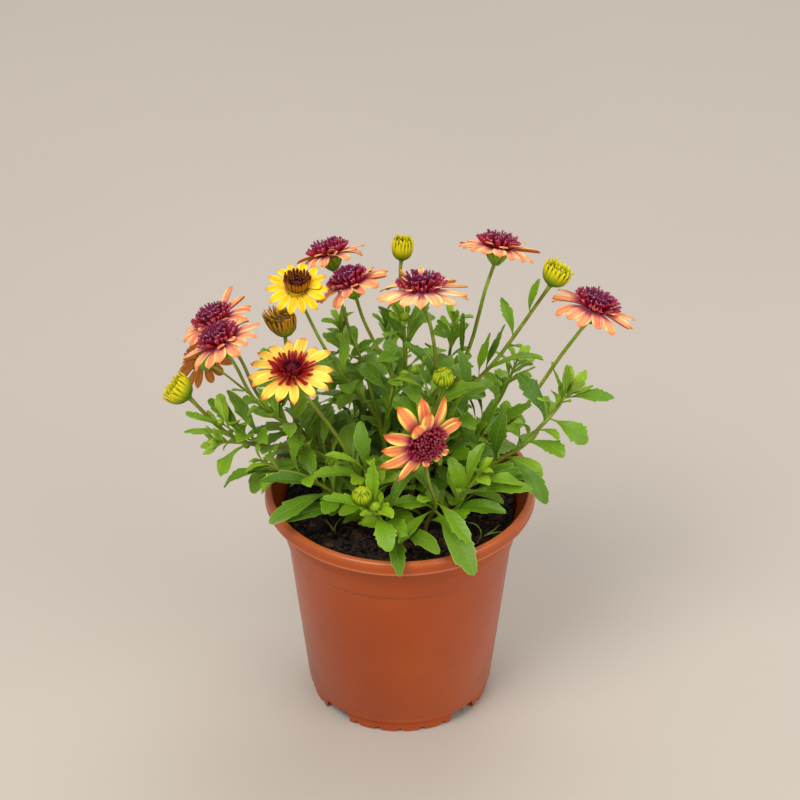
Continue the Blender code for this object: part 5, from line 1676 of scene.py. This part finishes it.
# Seedlings on the soil and roots under the pot's floor: points, radius and the slot of the material,
# 0 for peat and 1 for green
weeds = [
    ([(-41, -31, 141), (-43, -32, 146), (-46, -34, 153)], 0.42, 1),
    ([(-41, -31, 141), (-40, -32, 147), (-37, -32, 152)], 0.4, 1),
    ([(-42, -30, 141), (-44, -29, 145), (-48, -28, 148)], 0.38, 1),
    ([(-40, -32, 141), (-41, -35, 145), (-42, -38, 147)], 0.36, 1),
    ([(46, -46, 141), (49, -48, 147), (50, -50, 155), (47, -51, 161), (42, -51, 163)], 0.3, 1),
    ([(52, -36, 141), (56, -38, 144.5), (61, -37, 145), (64, -39, 147)], 0.5, 1),
    ([(54, -34, 141), (59, -33, 144), (62, -30, 146)], 0.45, 1),
    ([(-37, -15.3, 11.5), (-38, -20, 6), (-38.5, -29, 2.4), (-37, -37, 1.6)], 0.7, 0),
    ([(-15.3, -37, 11.5), (-22, -39, 5), (-29, -40, 2), (-33, -43, 1.2)], 0.5, 0),
    ([(37, -15.3, 11.5), (40, -24, 5), (40, -34, 1.8), (41, -40, 1)], 0.5, 0),
]


def addWeeds(skin):
    for points, radius, slot in weeds:
        way = smoothWay(points, 1.2)
        last = len(way) - 1
        sizes = [radius * (1 - 0.8 * (k / last) ** 2) * mm for k in range(last + 1)]
        addTube(skin, way, sizes, 6, slot, lambda t, turn, place: (turn, t, 3), (0.6, 0, 0))


def weedLook():
    look = Look("weed", dict(foot=(150, 160, 90), green=(132, 168, 50)),
                {"Subsurface Weight": 0.08, "Subsurface Scale": 0.001})
    _, along, _ = look.marks("spot")
    base = look.mix(along.step(0, 0.6), "foot", "green")
    return look.finish(base, look.grain(300, 2) * 0.2 + 0.4, look.grain(900, 2), 0.0001)


def scatter(count, reach, draw):
    # places on the soil, evenly spread out to a reach: x and y in millimetres
    for k in range(count):
        radius, angle = reach * draw.random() ** 0.5, draw.uniform(0, 2 * pi)
        yield radius * cos(angle), radius * sin(angle)


def onSoil(x, y, lift):
    return Vector((x, y, soilHeight(x, y) + lift)) * mm


def makeSoil():
    form = soilForm
    draw = Random(31)
    skin = Skin()
    rings = [[skin.point(onSoil(0, 0, 0), plain, plain)]]
    turn = form["rings"][-1]
    for radius, height in [(radius, None) for radius in form["rings"]] + list(form["below"]):
        ring = []
        for k in range(form["sides"]):
            angle = 2 * pi * k / form["sides"] + (turn if height else radius)
            x, y = radius * cos(angle), radius * sin(angle)
            dark = 0 if height else max(0, noise.noise(Vector((x, y, 3)) * 0.08))
            edge = soilTop - 0.6 + 0.5 * noise.noise(Vector((x, y, 0)))
            level = height or (soilHeight(x, y) if radius < turn else edge)
            ring.append(skin.point(Vector((x, y, level)) * mm, plain, (0, dark, 0)))
        skin.between(rings[-1], ring, 0, True)
        rings.append(ring)
    skin.close(rings[-1], 0)
    for x, y in scatter(*form["chunks"], draw):
        size, kind = draw.choice(form["sizes"]), draw.choice(form["chunkKinds"])
        addChunk(skin, onSoil(x, y, size * 0.2), size, draw.uniform(1, 1.8), kind, draw)
    for x, y in scatter(*form["chips"], draw):
        size, stretch = draw.uniform(1.6, 2.6), draw.uniform(1.4, 2.4)
        addChunk(skin, onSoil(x, y, size * 0.3), size, stretch, draw.choice(form["chipKinds"]), draw)
    for k, (x, y) in enumerate(scatter(*form["grains"], draw)):
        shade = (0.5 if k % 3 else 1, 0, 0)
        addBead(skin, onSoil(x, y, 0.15), draw.uniform(0.2, 0.45), shade, 0, 0.8)
    for x, y in scatter(*form["fibres"], draw):
        addFibre(skin, onSoil(x, y, 0.3), draw.uniform(3, 9), draw.choice(form["fibreKinds"]), draw)
    addWeeds(skin)
    return piece("soil_surface", skin, [peatLook(), weedLook()], "soil", "peat", 40)


# Making everything

layOut()
print("laid out", len(shoots), "shoots,", sum(len(stem["blades"]) for shoot in shoots.values()
                                              for stem in everyStem(shoot)), "leaves")
made = [makePot(), makeSoil()]
print("pot and soil", sum(len(each.data.polygons) for each in made))

more = 0
for number, shoot in enumerate(shoots.values()):
    draw = Random(number + 101)
    for stem in everyStem(shoot):
        more += growFill(stem, draw)
print("further leaves", more)

leafLooks = [stemLook(), cupLook(), leafLook("leaf top", False), leafLook("leaf underside", True)]
made = [makeShoot(name, shoot, leafLooks, number) for number, (name, shoot) in enumerate(shoots.items())]
print("shoots", sum(len(each.data.polygons) for each in made))

petalLooks = {kind: [petalLook(kind + " petal", tones, False), petalLook(kind + " petal back", tones, True)]
              for kind, tones in petalFinish.items()}
floretLooks = {kind: floretLook(kind + " floret", tones) for kind, tones in floretFinish.items()}
for number, (name, bloom) in enumerate(blooms.items()):
    makeBloom(name, bloom, petalLooks, floretLooks, number)
print("blooms")
openingLooks = {kind: fingerLook(kind + " bud", tones) for kind, tones in fingerFinish.items()}
for number, (name, bud) in enumerate(buds.items()):
    makeBud(name, bud, openingLooks, number)
print("buds")


# The floor, the light and the camera

def makeFloor(reach):
    made = meshObject("floor", [(-reach, -reach, 0), (reach, -reach, 0), (reach, reach, 0),
                                (-reach, reach, 0)],
                      [(0, 1, 2, 3)])
    look = Look("floor", dict(pale=(182, 175, 167), dark=(177, 170, 162)), {"Specular IOR Level": 0.2})
    base = look.mix(look.grain(2, 2).step(0.3, 0.7) * 0.5, "pale", "dark")
    made.data.materials.append(look.finish(base, look.grain(30, 1) * 0.1 + 0.7, look.grain(400, 2),
                                           0.00002))


def makeLight(name, place, target, size, power, tint):
    data = bpy.data.lights.new(name, "AREA")
    data.shape, data.size, data.energy, data.color = "DISK", size, power, tint
    made = bpy.data.objects.new(name, data)
    made.location = place
    made.rotation_euler = (Vector(target) - Vector(place)).to_track_quat("-Z", "Y").to_euler()
    bpy.context.scene.collection.objects.link(made)


makeFloor(16)
makeLight("key", (-0.8, -1.1, 1.95), (0, 0, 0.15), 1.2, 35, (1, 0.97, 0.93))
makeLight("fill", (1.4, -1.1, 0.9), (0, 0, 0.15), 1.9, 19, (1, 0.98, 0.96))
makeLight("top", (0.2, 0.9, 2.0), (0, 0, 0.2), 1.4, 16, (0.97, 0.98, 1))

world = bpy.data.worlds.new("room")
world.use_nodes = True
world.node_tree.nodes["Background"].inputs["Color"].default_value = colour(226, 219, 210)
world.node_tree.nodes["Background"].inputs["Strength"].default_value = 0.76
bpy.context.scene.world = world

# Its lens and sensor are in millimetres, its aim and distance in metres, its tilt in degrees
view = dict(lens=150, sensor=36, farthest=20, aim=(0, 0, 0.2193), tilt=34.53, distance=2.062)
lens = bpy.data.cameras.new("camera")
lens.lens, lens.sensor_width, lens.clip_end = view["lens"], view["sensor"], view["farthest"]
camera = bpy.data.objects.new("camera", lens)
aim, tilt = Vector(view["aim"]), radians(view["tilt"])
camera.location = aim + Vector((0, -cos(tilt), sin(tilt))) * view["distance"]
camera.rotation_euler = (aim - camera.location).to_track_quat("-Z", "Y").to_euler()
bpy.context.scene.collection.objects.link(camera)
bpy.context.scene.camera = camera
bpy.context.scene.view_settings.view_transform = "Standard"
